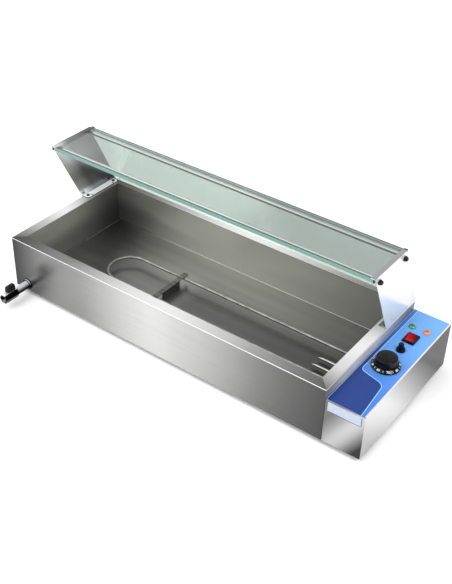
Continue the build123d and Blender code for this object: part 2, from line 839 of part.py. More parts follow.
with BuildPart() as switch_rocker:
    with BuildSketch(rocker_plane):
        Circle(rocker_radius)
        with BuildLine():
            rise = rocker_crown + rocker_radius * sin(radians(rocker_slope))
            Polyline(
                (0, rocker_crown),
                (rocker_radius, rise),
                (rocker_radius, rocker_radius),
                (-rocker_radius, rocker_radius),
                (-rocker_radius, rise),
                close=True,
            )
        make_face(mode=Mode.SUBTRACT)
        with Locations((0, -rocker_bottom)):
            Rectangle(2 * rocker_radius, rocker_radius, align=(Align.CENTER, Align.MAX), mode=Mode.SUBTRACT)
    extrude(amount=rocker_width / 2, both=True)
    with BuildSketch(rocker_plane):
        Circle(trunnion_radius)
    extrude(amount=rocker_width / 2 + trunnion_length, both=True)
tilted_rocker = switch_rocker.part.rotate(Axis(rocker_plane.origin, (1, 0, 0)), rocker_tilt)
tilted_rocker.label = "switch_rocker"
export_step(tilted_rocker, "parts/switch_rocker.step")


def lamp_lens(lamp_x):
    """A low round lens with a domed top."""
    with BuildPart() as lens:
        with BuildSketch(Plane.XZ.offset(-lamp_y)):
            with BuildLine():
                edge = Polyline(
                    (lamp_x, panel_face),
                    (lamp_x + lens_radius, panel_face),
                    (lamp_x + lens_radius, panel_face + lens_edge),
                )
                crown = dome(edge @ 1, lamp_x, lens_height - lens_edge)
                Line(crown @ 1, edge @ 0)
            make_face()
        revolve(axis=Axis((lamp_x, lamp_y, panel_face), (0, 0, 1)))
    return lens


green_lamp_lens = lamp_lens(box_middle - lamp_spacing / 2)
green_lamp_lens.part.label = "green_lamp_lens"
export_step(green_lamp_lens.part, "parts/green_lamp_lens.step")

orange_lamp_lens = lamp_lens(box_middle + lamp_spacing / 2)
orange_lamp_lens.part.label = "orange_lamp_lens"
export_step(orange_lamp_lens.part, "parts/orange_lamp_lens.step")

with BuildPart() as lamp_bodies:
    with BuildSketch(upright(box_middle, lamp_y, panel_face)):
        with GridLocations(lamp_spacing, 0, 2, 1):
            Circle(lamp_body_radius)
    extrude(amount=-lamp_body_length)
lamp_bodies.part.label = "lamp_bodies"
export_step(lamp_bodies.part, "parts/lamp_bodies.step")

# Capillary tubes from the bulbs to the thermostat and the limiter
capillary_start = well_right - gland_flange_length
thermostat_bottom = under_panel - thermostat_height
limiter_bottom = under_panel - limiter_height
turn_height = (bulb_height + limiter_bottom) / 2

with BuildPart() as thermostat_capillary:
    with BuildLine():
        tube_line = FilletPolyline(
            (capillary_start, bulb_lines[0], bulb_height),
            (box_middle, bulb_lines[0], bulb_height),
            (box_middle, bulb_lines[0], thermostat_bottom),
            radius=capillary_bend,
        )
    with BuildSketch(Plane(origin=tube_line @ 0, z_dir=tube_line % 0)):
        Circle(capillary_radius)
    sweep()
thermostat_capillary.part.label = "thermostat_capillary"
export_step(thermostat_capillary.part, "parts/thermostat_capillary.step")

with BuildPart() as limiter_capillary:
    with BuildLine():
        tube_line = FilletPolyline(
            (capillary_start, bulb_lines[1], bulb_height),
            (box_middle, bulb_lines[1], bulb_height),
            (box_middle, bulb_lines[1], turn_height),
            (box_middle, reset_y, turn_height),
            (box_middle, reset_y, limiter_bottom),
            radius=capillary_bend,
        )
    with BuildSketch(Plane(origin=tube_line @ 0, z_dir=tube_line % 0)):
        Circle(capillary_radius)
    sweep()
limiter_capillary.part.label = "limiter_capillary"
export_step(limiter_capillary.part, "parts/limiter_capillary.step")

# Terminal block on the base of the control box
way_step = block_length / block_ways

with BuildPart() as terminal_block:
    with BuildSketch(upright(box_middle, front + block_position, casing_bottom)):
        Rectangle(block_width, block_length)
    extrude(amount=block_height)
    with BuildSketch(upright(box_middle, front + block_position, casing_bottom + block_height)):
        with GridLocations(block_width / 2, way_step, 2, block_ways):
            Circle(screw_radius)
    extrude(amount=-block_height / 2, mode=Mode.SUBTRACT)
    with BuildSketch(upright(box_middle, front + block_position, casing_bottom + block_height)):
        with GridLocations(0, way_step, 1, block_ways - 1):
            Rectangle(block_width, sheet)
    extrude(amount=-block_height / 3, mode=Mode.SUBTRACT)
terminal_block.part.label = "terminal_block"
export_step(terminal_block.part, "parts/terminal_block.step")


def facing_back(x, y, z):
    """A work plane at a point, facing the back."""
    return Plane(origin=(x, y, z), x_dir=(-1, 0, 0), z_dir=(0, 1, 0))


# Cable gland in the back of the control box: body, clamping cap and locknut
with BuildPart() as cable_gland:
    with BuildSketch(facing_back(box_middle, back, gland_z)):
        RegularPolygon(gland_hex_width / 2, 6, major_radius=False)
    extrude(amount=gland_hex_length)
    with BuildSketch(facing_back(box_middle, back, gland_z)):
        Circle(cable_thread_radius)
    extrude(amount=-gland_thread_reach)
    with BuildSketch(facing_back(box_middle, back, gland_z)):
        Circle(cable_bore_radius)
    extrude(amount=gland_hex_length, mode=Mode.SUBTRACT)
    with BuildSketch(facing_back(box_middle, back, gland_z)):
        Circle(cable_bore_radius)
    extrude(amount=-gland_thread_reach, mode=Mode.SUBTRACT)
cable_gland.part.label = "cable_gland"
export_step(cable_gland.part, "parts/cable_gland.step")

with BuildPart() as gland_cap:
    with BuildSketch(facing_back(box_middle, back + gland_hex_length, gland_z)):
        Circle(gland_cap_radius)
    extrude(amount=gland_cap_length)
    fillet(gland_cap.edges().filter_by(GeomType.CIRCLE).sort_by(Axis.Y)[-1], gland_cap_length / 4)
    with BuildSketch(facing_back(box_middle, back + gland_hex_length, gland_z)):
        Circle(cable_bore_radius)
    extrude(amount=gland_cap_length, mode=Mode.SUBTRACT)
gland_cap.part.label = "gland_cap"
export_step(gland_cap.part, "parts/gland_cap.step")

with BuildPart() as gland_locknut:
    with BuildSketch(facing_front(box_middle, back - sheet, gland_z)):
        RegularPolygon(gland_hex_width / 2, 6, major_radius=False)
        Circle(cable_thread_radius + running_fit, mode=Mode.SUBTRACT)
    extrude(amount=gland_lock_length)
gland_locknut.part.label = "gland_locknut"
export_step(gland_locknut.part, "parts/gland_locknut.step")

# Drain: a sump welded under the well, and a nipple from it through the front
floor_underside = well_floor - sheet
drain_y = front + drain_position
socket_front = drain_y - sump_radius - socket_length
nipple_back = drain_y - sump_radius

with BuildPart() as drain_sump:
    with BuildSketch(upright(tap_x, drain_y, floor_underside)):
        Circle(sump_radius)
    extrude(amount=-sump_depth)
    with BuildSketch(facing_front(tap_x, drain_y, tap_z)):
        Circle(socket_radius)
    extrude(amount=drain_y - socket_front)
    with BuildSketch(upright(tap_x, drain_y, floor_underside)):
        Circle(sump_radius - sump_wall)
    extrude(amount=-(sump_depth - sump_wall), mode=Mode.SUBTRACT)
    with BuildSketch(facing_front(tap_x, drain_y, tap_z)):
        Circle(bore_radius)
    extrude(amount=drain_y - socket_front, mode=Mode.SUBTRACT)
    with BuildSketch(facing_front(tap_x, nipple_back, tap_z)):
        Circle(nipple_radius + running_fit)
    extrude(amount=socket_length, mode=Mode.SUBTRACT)
drain_sump.part.label = "drain_sump"
export_step(drain_sump.part, "parts/drain_sump.step")

with BuildPart() as drain_nipple:
    with BuildSketch(facing_front(tap_x, nipple_back, tap_z)):
        Circle(nipple_radius)
        Circle(bore_radius, mode=Mode.SUBTRACT)
    extrude(amount=nipple_back - front + nipple_engagement)
drain_nipple.part.label = "drain_nipple"
export_step(drain_nipple.part, "parts/drain_nipple.step")

# Tap: gasket, body with a hexagonal valve chamber, seats, ball, stem and lever
rosette_back = front - gasket_thickness
barrel_back = rosette_back - rosette_thickness
hex_back = barrel_back - barrel_length
hex_front = hex_back - hex_length
ball_y = (hex_back + hex_front) / 2
seat_near = ball_radius - seat_length

with BuildPart() as tap_gasket:
    with BuildSketch(facing_front(tap_x, front, tap_z)):
        Circle(gasket_radius)
        Circle(nipple_radius + running_fit, mode=Mode.SUBTRACT)
    extrude(amount=gasket_thickness)
tap_gasket.part.label = "tap_gasket"
export_step(tap_gasket.part, "parts/tap_gasket.step")

with BuildPart() as tap_body:
    with BuildSketch(facing_front(tap_x, rosette_back, tap_z)):
        Circle(rosette_radius)
    extrude(amount=rosette_thickness)
    with BuildSketch(facing_front(tap_x, barrel_back, tap_z)):
        Circle(barrel_radius)
    extrude(amount=barrel_length)
    with BuildSketch(facing_front(tap_x, hex_back, tap_z)):
        RegularPolygon(hex_width / 2, 6, major_radius=False)
    extrude(amount=hex_length)
    with BuildSketch(facing_front(tap_x, rosette_back, tap_z)):
        Circle(bore_radius)
    extrude(amount=rosette_back - ball_y, mode=Mode.SUBTRACT)
    with BuildSketch(facing_front(tap_x, rosette_back, tap_z)):
        Circle(nipple_radius + running_fit)
    extrude(amount=nipple_engagement - gasket_thickness + part_gap, mode=Mode.SUBTRACT)
    with BuildSketch(facing_front(tap_x, ball_y + ball_radius, tap_z)):
        Circle(cavity_radius)
    extrude(amount=ball_y + ball_radius - hex_front, mode=Mode.SUBTRACT)
    with BuildSketch(upright(tap_x, ball_y, tap_z)):
        Circle(stem_radius + running_fit)
    extrude(amount=hex_width / 2, mode=Mode.SUBTRACT)
tap_body.part.label = "tap_body"
export_step(tap_body.part, "parts/tap_body.step")

with BuildPart() as tap_outlet:
    with BuildSketch(facing_front(tap_x, ball_y - ball_radius, tap_z)):
        Circle(cavity_radius - running_fit)
    extrude(amount=ball_y - ball_radius - hex_front)
    with BuildSketch(facing_front(tap_x, hex_front, tap_z)):
        RegularPolygon(outlet_width / 2, 6, major_radius=False)
    extrude(amount=outlet_length)
    chamfer(tap_outlet.faces().sort_by(Axis.Y)[0].edges(), outlet_bevel)
    with BuildSketch(facing_front(tap_x, ball_y - ball_radius, tap_z)):
        Circle(bore_radius)
    extrude(amount=hex_length, mode=Mode.SUBTRACT)
    with BuildSketch(facing_front(tap_x, hex_front - outlet_length, tap_z)):
        Circle(mouth_radius)
    extrude(amount=-mouth_depth, mode=Mode.SUBTRACT)
tap_outlet.part.label = "tap_outlet"
export_step(tap_outlet.part, "parts/tap_outlet.step")

with BuildPart() as tap_seats:
    for seat_back, direction in ((ball_y + ball_radius, 1), (ball_y - ball_radius, -1)):
        with BuildSketch(facing_front(tap_x, seat_back, tap_z)):
            Circle(cavity_radius - running_fit)
            Circle(bore_radius, mode=Mode.SUBTRACT)
        extrude(amount=direction * seat_length)
    with Locations((tap_x, ball_y, tap_z)):
        Sphere(ball_radius + running_fit, mode=Mode.SUBTRACT)
tap_seats.part.label = "tap_seats"
export_step(tap_seats.part, "parts/tap_seats.step")

with BuildPart() as tap_ball:
    with Locations((tap_x, ball_y, tap_z)):
        Sphere(ball_radius)
    with BuildSketch(facing_front(tap_x, ball_y, tap_z)):
        Circle(bore_radius)
    extrude(amount=ball_radius, both=True, mode=Mode.SUBTRACT)
    with BuildSketch(upright(tap_x, ball_y, tap_z + ball_radius)):
        Rectangle(tang_width + 2 * running_fit, 2 * ball_radius)
    extrude(amount=-tang_depth, mode=Mode.SUBTRACT)
tap_ball.part.label = "tap_ball"
export_step(tap_ball.part, "parts/tap_ball.step")

# The stem's tang fits the ball's slot, and its top fits the lever
bonnet_bottom = tap_z + hex_width / 2
lever_bottom = bonnet_bottom + bonnet_height + part_gap
stem_top = lever_bottom + lever_height - lever_skin
tang_bottom = tap_z + ball_radius - tang_depth

with BuildPart() as tap_stem:
    with BuildSketch(upright(tap_x, ball_y, tang_bottom)):
        Circle(stem_radius)
        Rectangle(tang_width, 2 * stem_radius, mode=Mode.INTERSECT)
    extrude(amount=tang_depth + part_gap)
    with BuildSketch(upright(tap_x, ball_y, tang_bottom + tang_depth + part_gap)):
        Circle(stem_radius)
    extrude(amount=stem_top - tang_bottom - tang_depth - part_gap)
tap_stem.part.label = "tap_stem"
export_step(tap_stem.part, "parts/tap_stem.step")

with BuildPart() as stem_bonnet:
    with BuildSketch(upright(tap_x, ball_y, bonnet_bottom)):
        Circle(bonnet_radius)
        Circle(stem_radius + running_fit, mode=Mode.SUBTRACT)
    extrude(amount=bonnet_height)
stem_bonnet.part.label = "stem_bonnet"
export_step(stem_bonnet.part, "parts/stem_bonnet.step")

with BuildPart() as tap_lever:
    with BuildSketch(upright(tap_x, ball_y, lever_bottom)):
        RectangleRounded(lever_width, lever_length, lever_width / 3)
    extrude(amount=lever_height, taper=lever_taper)
    chamfer(tap_lever.faces().sort_by(Axis.Z)[-1].edges(), lever_rounding)
    with BuildSketch(upright(tap_x, ball_y, lever_bottom)):
        Circle(stem_radius + running_fit)
    extrude(amount=lever_height - lever_skin, mode=Mode.SUBTRACT)
tap_lever.part.label = "tap_lever"
export_step(tap_lever.part, "parts/tap_lever.step")

# Guard: two leaning end panels, each with a flange over the glass and a foot
panel_front = back - guard_base_depth
top_front = panel_front - guard_lean
top_back = back - guard_lean
lean_angle = atan2(guard_lean, guard_height)
glass_top = guard_top - panel_sheet
glass_bottom = glass_top - glass_thickness
rod_z = guard_top - rod_drop
edge_shift = guard_lean * rod_drop / guard_height
rod_lines = [top_front + edge_shift + front_rod_inset, top_back + edge_shift - back_rod_inset]


def end_panel(outer_x, inward):
    """One end panel whose outer face lies at outer_x and whose flanges point inward."""
    plane = facing_right(outer_x, 0, 0)
    with BuildPart() as panel:
        with BuildSketch(plane):
            with BuildLine():
                Polyline(
                    (panel_front, casing_top),
                    (back, casing_top),
                    (top_back, guard_top),
                    (top_front, guard_top),
                    close=True,
                )
            make_face()
        extrude(amount=inward * panel_sheet)
        with BuildSketch(upright(outer_x + inward * top_flange / 2, (top_front + top_back) / 2, guard_top)):
            Rectangle(top_flange, guard_base_depth)
        extrude(amount=-panel_sheet)
        with BuildSketch(upright(outer_x, foot_middle, casing_top)):
            with Locations((inward * foot_flange / 2, 0)):
                RectangleRounded(foot_flange, foot_flange_length, foot_flange_corner)
            with Locations((inward * foot_flange_corner / 2, 0)):
                Rectangle(foot_flange_corner, foot_flange_length)
            with Locations((inward * (foot_flange - notch_depth / 2), 0)):
                with GridLocations(0, foot_flange_length - 2 * notch_position, 1, 2):
                    Rectangle(notch_depth, notch_width, mode=Mode.SUBTRACT)
            with Locations((inward * (foot_flange - panel_screw_inset), 0)):
                with GridLocations(0, panel_screw_step, 1, 2):
                    Circle(panel_screw_radius + screw_clearance, mode=Mode.SUBTRACT)
        extrude(amount=panel_sheet)
        with BuildSketch(plane):
            with Locations(*[(line, rod_z) for line in rod_lines]):
                Circle(rod_stud_radius + screw_clearance)
        extrude(amount=inward * panel_sheet, mode=Mode.SUBTRACT)
    return panel


left_end_panel = end_panel(left, 1)
left_end_panel.part.label = "left_end_panel"
export_step(left_end_panel.part, "parts/left_end_panel.step")

right_end_panel = end_panel(right, -1)
right_end_panel.part.label = "right_end_panel"
export_step(right_end_panel.part, "parts/right_end_panel.step")

end_panel_screws = pan_screws(
    Plane(origin=(casing_middle, foot_middle, casing_top + panel_sheet), x_dir=(1, 0, 0), z_dir=(0, 0, -1)),
    [
        (i * (casing_length / 2 - foot_flange + panel_screw_inset), j * panel_screw_step / 2)
        for i in (-1, 1)
        for j in (-1, 1)
    ],
    panel_screw_radius,
    panel_screw_head,
    screw_length,
)
end_panel_screws.part.label = "end_panel_screws"
export_step(end_panel_screws.part, "parts/end_panel_screws.step")

# Glass: a flat pane under the top flanges and a leaning pane at the back
glass_length = casing_length - 2 * (panel_sheet + glass_end_gap)
pane_front = top_front + top_glass_front
pane_back = top_back + top_glass_back

with BuildPart() as top_glass:
    with BuildSketch(upright(casing_middle, (pane_front + pane_back) / 2, glass_bottom)):
        Rectangle(glass_length, pane_back - pane_front)
    extrude(amount=glass_thickness)
    chamfer(top_glass.edges(), glass_chamfer)
top_glass.part.label = "top_glass"
export_step(top_glass.part, "parts/top_glass.step")

rear_low = casing_top + part_gap
rear_high = glass_bottom - part_gap
rear_outer = back - rear_glass_setback
pane_slope = guard_lean / guard_height
pane_width = glass_thickness / cos(lean_angle)

with BuildPart() as rear_glass:
    with BuildSketch(facing_right(casing_middle, 0, 0)):
        with BuildLine():
            low_y = rear_outer - pane_slope * (rear_low - casing_top)
            high_y = rear_outer - pane_slope * (rear_high - casing_top)
            Polyline(
                (low_y, rear_low),
                (high_y, rear_high),
                (high_y - pane_width, rear_high),
                (low_y - pane_width, rear_low),
                close=True,
            )
        make_face()
    extrude(amount=glass_length / 2, both=True)
rear_glass.part.label = "rear_glass"
export_step(rear_glass.part, "parts/rear_glass.step")

# Tie rods between the panels, with studs that pass through them
rod_length = casing_length - 2 * panel_sheet

with BuildPart() as tie_rods:
    for line in rod_lines:
        with BuildSketch(facing_right(casing_middle, line, rod_z)):
            Circle(rod_radius)
        extrude(amount=rod_length / 2, both=True)
        with BuildSketch(facing_right(casing_middle, line, rod_z)):
            Circle(rod_stud_radius)
        extrude(amount=casing_length / 2 + cap_nut_length / 2, both=True)
tie_rods.part.label = "tie_rods"
export_step(tie_rods.part, "parts/tie_rods.step")

def cap_nuts(face_x, outward):
    """Domed nuts on the outer face of one end panel, one on each rod."""
    plane = Plane(origin=(face_x, 0, rod_z), x_dir=(0, 1, 0), z_dir=(outward, 0, 0))
    spots = [(line, 0) for line in rod_lines]
    with BuildPart() as nuts:
        with BuildSketch(plane):
            with Locations(*spots):
                RegularPolygon(cap_nut_width / 2, 6, major_radius=False)
        extrude(amount=cap_nut_skirt)
        with BuildSketch(plane):
            with Locations(*spots):
                Circle(cap_nut_dome_radius)
        extrude(amount=cap_nut_length)
        rings = nuts.edges().filter_by(GeomType.CIRCLE)
        fillet(rings.group_by(Axis(plane.origin, plane.z_dir))[-1], cap_nut_dome_radius / 2)
        with BuildSketch(plane):
            with Locations(*spots):
                Circle(rod_stud_radius + running_fit)
        extrude(amount=cap_nut_length / 2 + part_gap, mode=Mode.SUBTRACT)
    return nuts


left_cap_nuts = cap_nuts(left, -1)
left_cap_nuts.part.label = "left_cap_nuts"
export_step(left_cap_nuts.part, "parts/left_cap_nuts.step")

right_cap_nuts = cap_nuts(right, 1)
right_cap_nuts.part.label = "right_cap_nuts"
export_step(right_cap_nuts.part, "parts/right_cap_nuts.step")

# Plastic caps on the corners of the top glass
with BuildPart() as glass_corner_caps:
    for edge_y, side, cap_length, cap_depth in (
        (pane_front, -1, front_cap_length, front_cap_depth),
        (pane_back, 1, back_cap_length, back_cap_depth),
    ):
        with BuildSketch(upright(casing_middle, edge_y + side * cap_depth / 2, glass_bottom)):
            with GridLocations(glass_length - cap_length, 0, 2, 1):
                Rectangle(cap_length, cap_depth)
        extrude(amount=glass_thickness)
glass_corner_caps.part.label = "glass_corner_caps"
export_step(glass_corner_caps.part, "parts/glass_corner_caps.step")
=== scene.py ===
import math

import bmesh
import bpy
from mathutils import Matrix, Vector


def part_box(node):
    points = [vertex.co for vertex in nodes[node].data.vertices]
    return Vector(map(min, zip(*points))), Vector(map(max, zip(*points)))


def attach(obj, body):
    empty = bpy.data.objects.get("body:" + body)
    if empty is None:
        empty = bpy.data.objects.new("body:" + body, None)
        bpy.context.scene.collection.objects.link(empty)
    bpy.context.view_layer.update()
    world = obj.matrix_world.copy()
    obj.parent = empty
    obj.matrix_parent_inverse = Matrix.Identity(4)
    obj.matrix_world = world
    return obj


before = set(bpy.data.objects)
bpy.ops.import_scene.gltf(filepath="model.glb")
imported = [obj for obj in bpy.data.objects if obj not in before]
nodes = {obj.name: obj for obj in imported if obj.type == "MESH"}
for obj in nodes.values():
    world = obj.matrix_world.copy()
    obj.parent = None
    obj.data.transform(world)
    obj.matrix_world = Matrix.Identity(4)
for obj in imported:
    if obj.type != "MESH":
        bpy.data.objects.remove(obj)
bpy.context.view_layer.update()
print("stage: frame loaded,", len(nodes), "pieces from the packed part")


def linear(level):
    share = level / 255
    return share / 12.92 if share <= 0.04045 else ((share + 0.055) / 1.055) ** 2.4


def shade(red, green, blue):
    return (linear(red), linear(green), linear(blue), 1.0)


# Shared by all finishes.
black = (0.0, 0.0, 0.0, 1.0)
grainFade = 0.55
reliefDepth = 0.0002


class Field:
    # a shader value that takes plain arithmetic
    def __init__(self, finish, socket):
        self.finish = finish
        self.socket = socket

    def combine(self, operation, *others):
        return self.finish.maths(operation, self, *others)

    def __add__(self, other):
        return self.combine("ADD", other)

    def __radd__(self, other):
        return self.finish.maths("ADD", other, self)

    def __sub__(self, other):
        return self.combine("SUBTRACT", other)

    def __rsub__(self, other):
        return self.finish.maths("SUBTRACT", other, self)

    def __mul__(self, other):
        return self.combine("MULTIPLY", other)

    def __rmul__(self, other):
        return self.finish.maths("MULTIPLY", other, self)

    def __truediv__(self, other):
        return self.combine("DIVIDE", other)

    def __rtruediv__(self, other):
        return self.finish.maths("DIVIDE", other, self)

    def __pow__(self, other):
        return self.combine("POWER", other)

    def __abs__(self):
        return self.combine("ABSOLUTE")

    def __lt__(self, other):
        return self.combine("LESS_THAN", other)

    def __gt__(self, other):
        return self.combine("GREATER_THAN", other)

    def least(self, other):
        return self.combine("MINIMUM", other)

    def most(self, other):
        return self.combine("MAXIMUM", other)

    def within(self, low, high):
        return (self > low) * (self < high)

    def swing(self, middle, span):
        # noise from 0 to 1, turned into half the span either side of the middle
        return middle - span / 2 + span * self

    def rise(self, low, high, first=0.0, last=1.0):
        made = self.finish.node(
            "ShaderNodeMapRange",
            {"interpolation_type": "SMOOTHSTEP"},
            {"Value": self, "From Min": low, "From Max": high, "To Min": first, "To Max": last},
        )
        return Field(self.finish, made.outputs["Result"])


class Finish:
    # one material and the calls that fill it
    def __init__(self, name):
        self.material = bpy.data.materials.new(name)
        self.material.use_nodes = True
        self.tree = self.material.node_tree
        self.tree.nodes.clear()
        self.end = self.node("ShaderNodeOutputMaterial")
        coordinates = self.node("ShaderNodeTexCoord")
        self.place = coordinates.outputs["Object"]
        self.facing = coordinates.outputs["Normal"]
        self.x, self.y, self.z = self.parts(self.place)
        self.across, self.forward, self.up = self.parts(self.facing)

    def feed(self, socket, value):
        if isinstance(value, Field):
            value = value.socket
        if isinstance(value, bpy.types.NodeSocket):
            self.tree.links.new(value, socket)
        else:
            socket.default_value = value

    def node(self, kind, settings=None, inputs=None):
        made = self.tree.nodes.new(kind)
        for key, value in (settings or {}).items():
            setattr(made, key, value)
        for key, value in (inputs or {}).items():
            self.feed(made.inputs[key], value)
        return made

    def maths(self, operation, *terms):
        made = self.node("ShaderNodeMath", {"operation": operation}, dict(enumerate(terms)))
        return Field(self, made.outputs[0])

    def parts(self, vector):
        made = self.node("ShaderNodeSeparateXYZ", inputs={0: vector})
        return [Field(self, socket) for socket in made.outputs]

    def grain(self, stretch, detail=3.0):
        scaled = self.node(
            "ShaderNodeVectorMath", {"operation": "MULTIPLY"}, {0: self.place, 1: stretch}
        )
        inputs = {
            "Vector": scaled.outputs[0],
            "Scale": 1.0,
            "Detail": detail,
            "Roughness": grainFade,
        }
        return Field(self, self.node("ShaderNodeTexNoise", inputs=inputs).outputs[0])

    def run(self, value, start, end, stops):
        # a grey that runs through its stops, each (share of the way, level)
        share = (value - start) / (end - start)
        made = self.node("ShaderNodeValToRGB", inputs={0: share})
        ramp = made.color_ramp
        ramp.interpolation = "CARDINAL"
        for index, (place, level) in enumerate(stops):
            stop = ramp.elements[index] if index < 2 else ramp.elements.new(place)
            stop.position = place
            stop.color = shade(level, level, level)
        return self.parts(made.outputs[0])[0]

    def blend(self, share, first, last):
        made = self.node("ShaderNodeMix", {"data_type": "RGBA"}, {0: share, 6: first, 7: last})
        return made.outputs[2]

    def bump(self, height, strength, depth=reliefDepth):
        made = self.node(
            "ShaderNodeBump", inputs={"Height": height, "Strength": strength, "Distance": depth}
        )
        return made.outputs[0]

    def skin(self, inputs):
        return self.node("ShaderNodeBsdfPrincipled", inputs=inputs).outputs[0]

    def show(self, surface):
        self.feed(self.end.inputs["Surface"], surface)
        return self.material

    def sheet(self, level, tint, metallic, roughness, brush, relief):
        # brushed sheet: a grey level times its tint
        inputs = {
            "Base Color": self.blend(level, black, tint),
            "Metallic": metallic,
            "Roughness": roughness,
            "Normal": self.bump(brush, relief),
        }
        return self.show(self.skin(inputs))


# In the settings below, places are in metres and the stops of a run hold levels of 255. Four
# numbers together run from the third to the fourth between the first two.

# Outside sheet steel: brushed along its length, with the broad light that runs over such sheet
# painted into its colour as painted light and shade.
casingSteel = {
    "left": -0.45325,
    "right": 0.37475,
    "front": -0.1485,
    "back": 0.2065,
    "alongLightRun": [
        (0.0, 56),
        (0.12, 131),
        (0.27, 153),
        (0.45, 199),
        (0.56, 193),
        (0.78, 139),
        (1.0, 79),
    ],
    "rimLightRun": [
        (0.0, 60),
        (0.2, 145),
        (0.34, 203),
        (0.48, 234),
        (0.63, 219),
        (0.78, 170),
        (1.0, 95),
    ],
    "acrossLightRun": [(0.0, 88), (0.16, 162), (0.3, 200), (0.46, 229), (0.62, 194), (1.0, 120)],
    "rightLightLift": (-0.15, 0.03, 0.8, 0.0),
    "upFacing": (0.6, 0.9),
    "shadeFacing": (0.72, 0.985),
    "shadeDepth": 0.5,
    "lineFacing": (0.1, 0.72),
    "lineLight": 0.8,
    "mitreWidth": 0.0009,
    "mitreDepth": 0.45,
    "rimWidth": 0.0255,
    "boxOverlap": 0.0005,
    "boxTop": 0.118,
    "footWidth": 0.0197,
    "footMiddle": 0.1385,
    "footHalf": 0.0556,
    "footShadowDepth": 0.85,
    "brushLong": 9.0,
    "brushFine": 1000.0,
    "brushSwing": 0.32,
    "broadStretch": (5.0, 5.0, 40.0),
    "broadSwing": 0.08,
    "tint": shade(252, 252, 251),
    "rimDull": 0.25,
    "overBoxDull": 0.6,
    "roughness": 0.3,
    "roughSwing": 0.12,
    "sideRough": 0.15,
    "relief": 0.12,
}


def paintCasing():
    made = Finish("brushedCasing")
    k = casingSteel
    fromSide = (made.x - k["left"]).least(k["right"] - made.x)
    fromLong = (made.y - k["front"]).least(k["back"] - made.y)
    side = (fromLong - fromSide) > 0.0
    up = made.up.rise(*k["upFacing"])
    # Painted light: broad runs of light and shade along the sheet, along the rim and across the
    # sides.
    along = made.run(made.x, k["left"], k["right"], k["alongLightRun"])
    rim = made.run(made.x, k["left"], k["right"], k["rimLightRun"])
    across = made.run(made.y, k["front"], k["back"], k["acrossLightRun"])
    # Painted light: the right side is lighter towards its front.
    across = across * (1 + (made.x > 0.0) * made.y.rise(*k["rightLightLift"]))
    tone = (along * (1 - up) + rim * up) * (1 - side) + across * side
    shadeLine = made.up.within(*k["shadeFacing"])
    lightLine = made.up.within(*k["lineFacing"])
    mitre = (abs(fromLong - fromSide) < k["mitreWidth"]) * (fromSide < k["rimWidth"]) * up
    overBox = (made.x > k["right"] - k["boxOverlap"]) * (made.z > k["boxTop"])
    # Painted shadow on the rim round each guard foot.
    footShadow = up * (fromSide < k["footWidth"]) * (abs(made.y - k["footMiddle"]) < k["footHalf"])
    # Painted shade and a painted highlight along the bends; the mitre line is the corner joint.
    tone = tone * (1 - k["shadeDepth"] * shadeLine) * (1 - k["mitreDepth"] * mitre)
    tone = tone.most(k["lineLight"] * lightLine) * (1 - k["footShadowDepth"] * footShadow)
    brushAlong = made.grain((k["brushLong"], k["brushFine"], k["brushFine"]))
    brushAcross = made.grain((k["brushFine"], k["brushLong"], k["brushFine"]))
    brush = brushAlong * (1 - side) + brushAcross * side
    broad = made.grain(k["broadStretch"], 2.0)
    level = tone * brush.swing(1.0, k["brushSwing"]) * broad.swing(1.0, k["broadSwing"])
    metallic = 1 - k["rimDull"] * up - k["overBoxDull"] * overBox
    roughness = brush.swing(k["roughness"], k["roughSwing"]) + k["sideRough"] * side
    return made.sheet(level, k["tint"], metallic, roughness, brush, k["relief"])


# Well: duller sheet with a finer brush, with painted light: its walls lighter towards the rim, a
# painted pool of light on the floor, and painted shade in its bends and corners.
wellSteel = {
    "left": -0.42825,
    "right": 0.34975,
    "front": -0.1235,
    "back": 0.1815,
    "floorLightRun": [(0.0, 90), (0.12, 91), (0.4, 99), (0.7, 93), (1.0, 74)],
    "wallLightRun": [(0.0, 176), (0.2, 222), (0.4, 254), (0.7, 232), (1.0, 198)],
    "endLightRun": [(0.0, 205), (0.45, 196), (0.75, 150), (1.0, 105)],
    "endFacing": (0.6, 0.9),
    "floorFacing": (0.7, 0.98),
    "bendFacing": (0.1, 0.3),
    "bendShadeDepth": 0.72,
    "bendShadeLeft": (-0.36, -0.24, 0.2, 0.0),
    "cornerFacing": (0.2, 0.4),
    "cornerShadeDepth": 0.5,
    "rimward": (0.066, 0.116),
    "wallLight": 0.2,
    "leftLight": (-0.27, -0.15, 0.65, 0.0),
    "endLight": (0.05, 0.16, 0.9, 0.3),
    "lightPoolLift": 0.7,
    "lightPoolLeft": (-0.36, -0.25),
    "lightPoolRight": (-0.14, -0.06, 1.0, 0.0),
    "lightPoolBack": (0.06, 0.12, 1.0, 0.0),
    "streakStretch": (2.5, 38.0, 1.0),
    "streakSwing": 0.4,
    "brushStretch": (8.0, 1300.0, 1300.0),
    "brushSwing": 0.12,
    "tint": shade(252, 253, 246),
    "roughness": 0.34,
    "roughSwing": 0.08,
    "relief": 0.08,
}


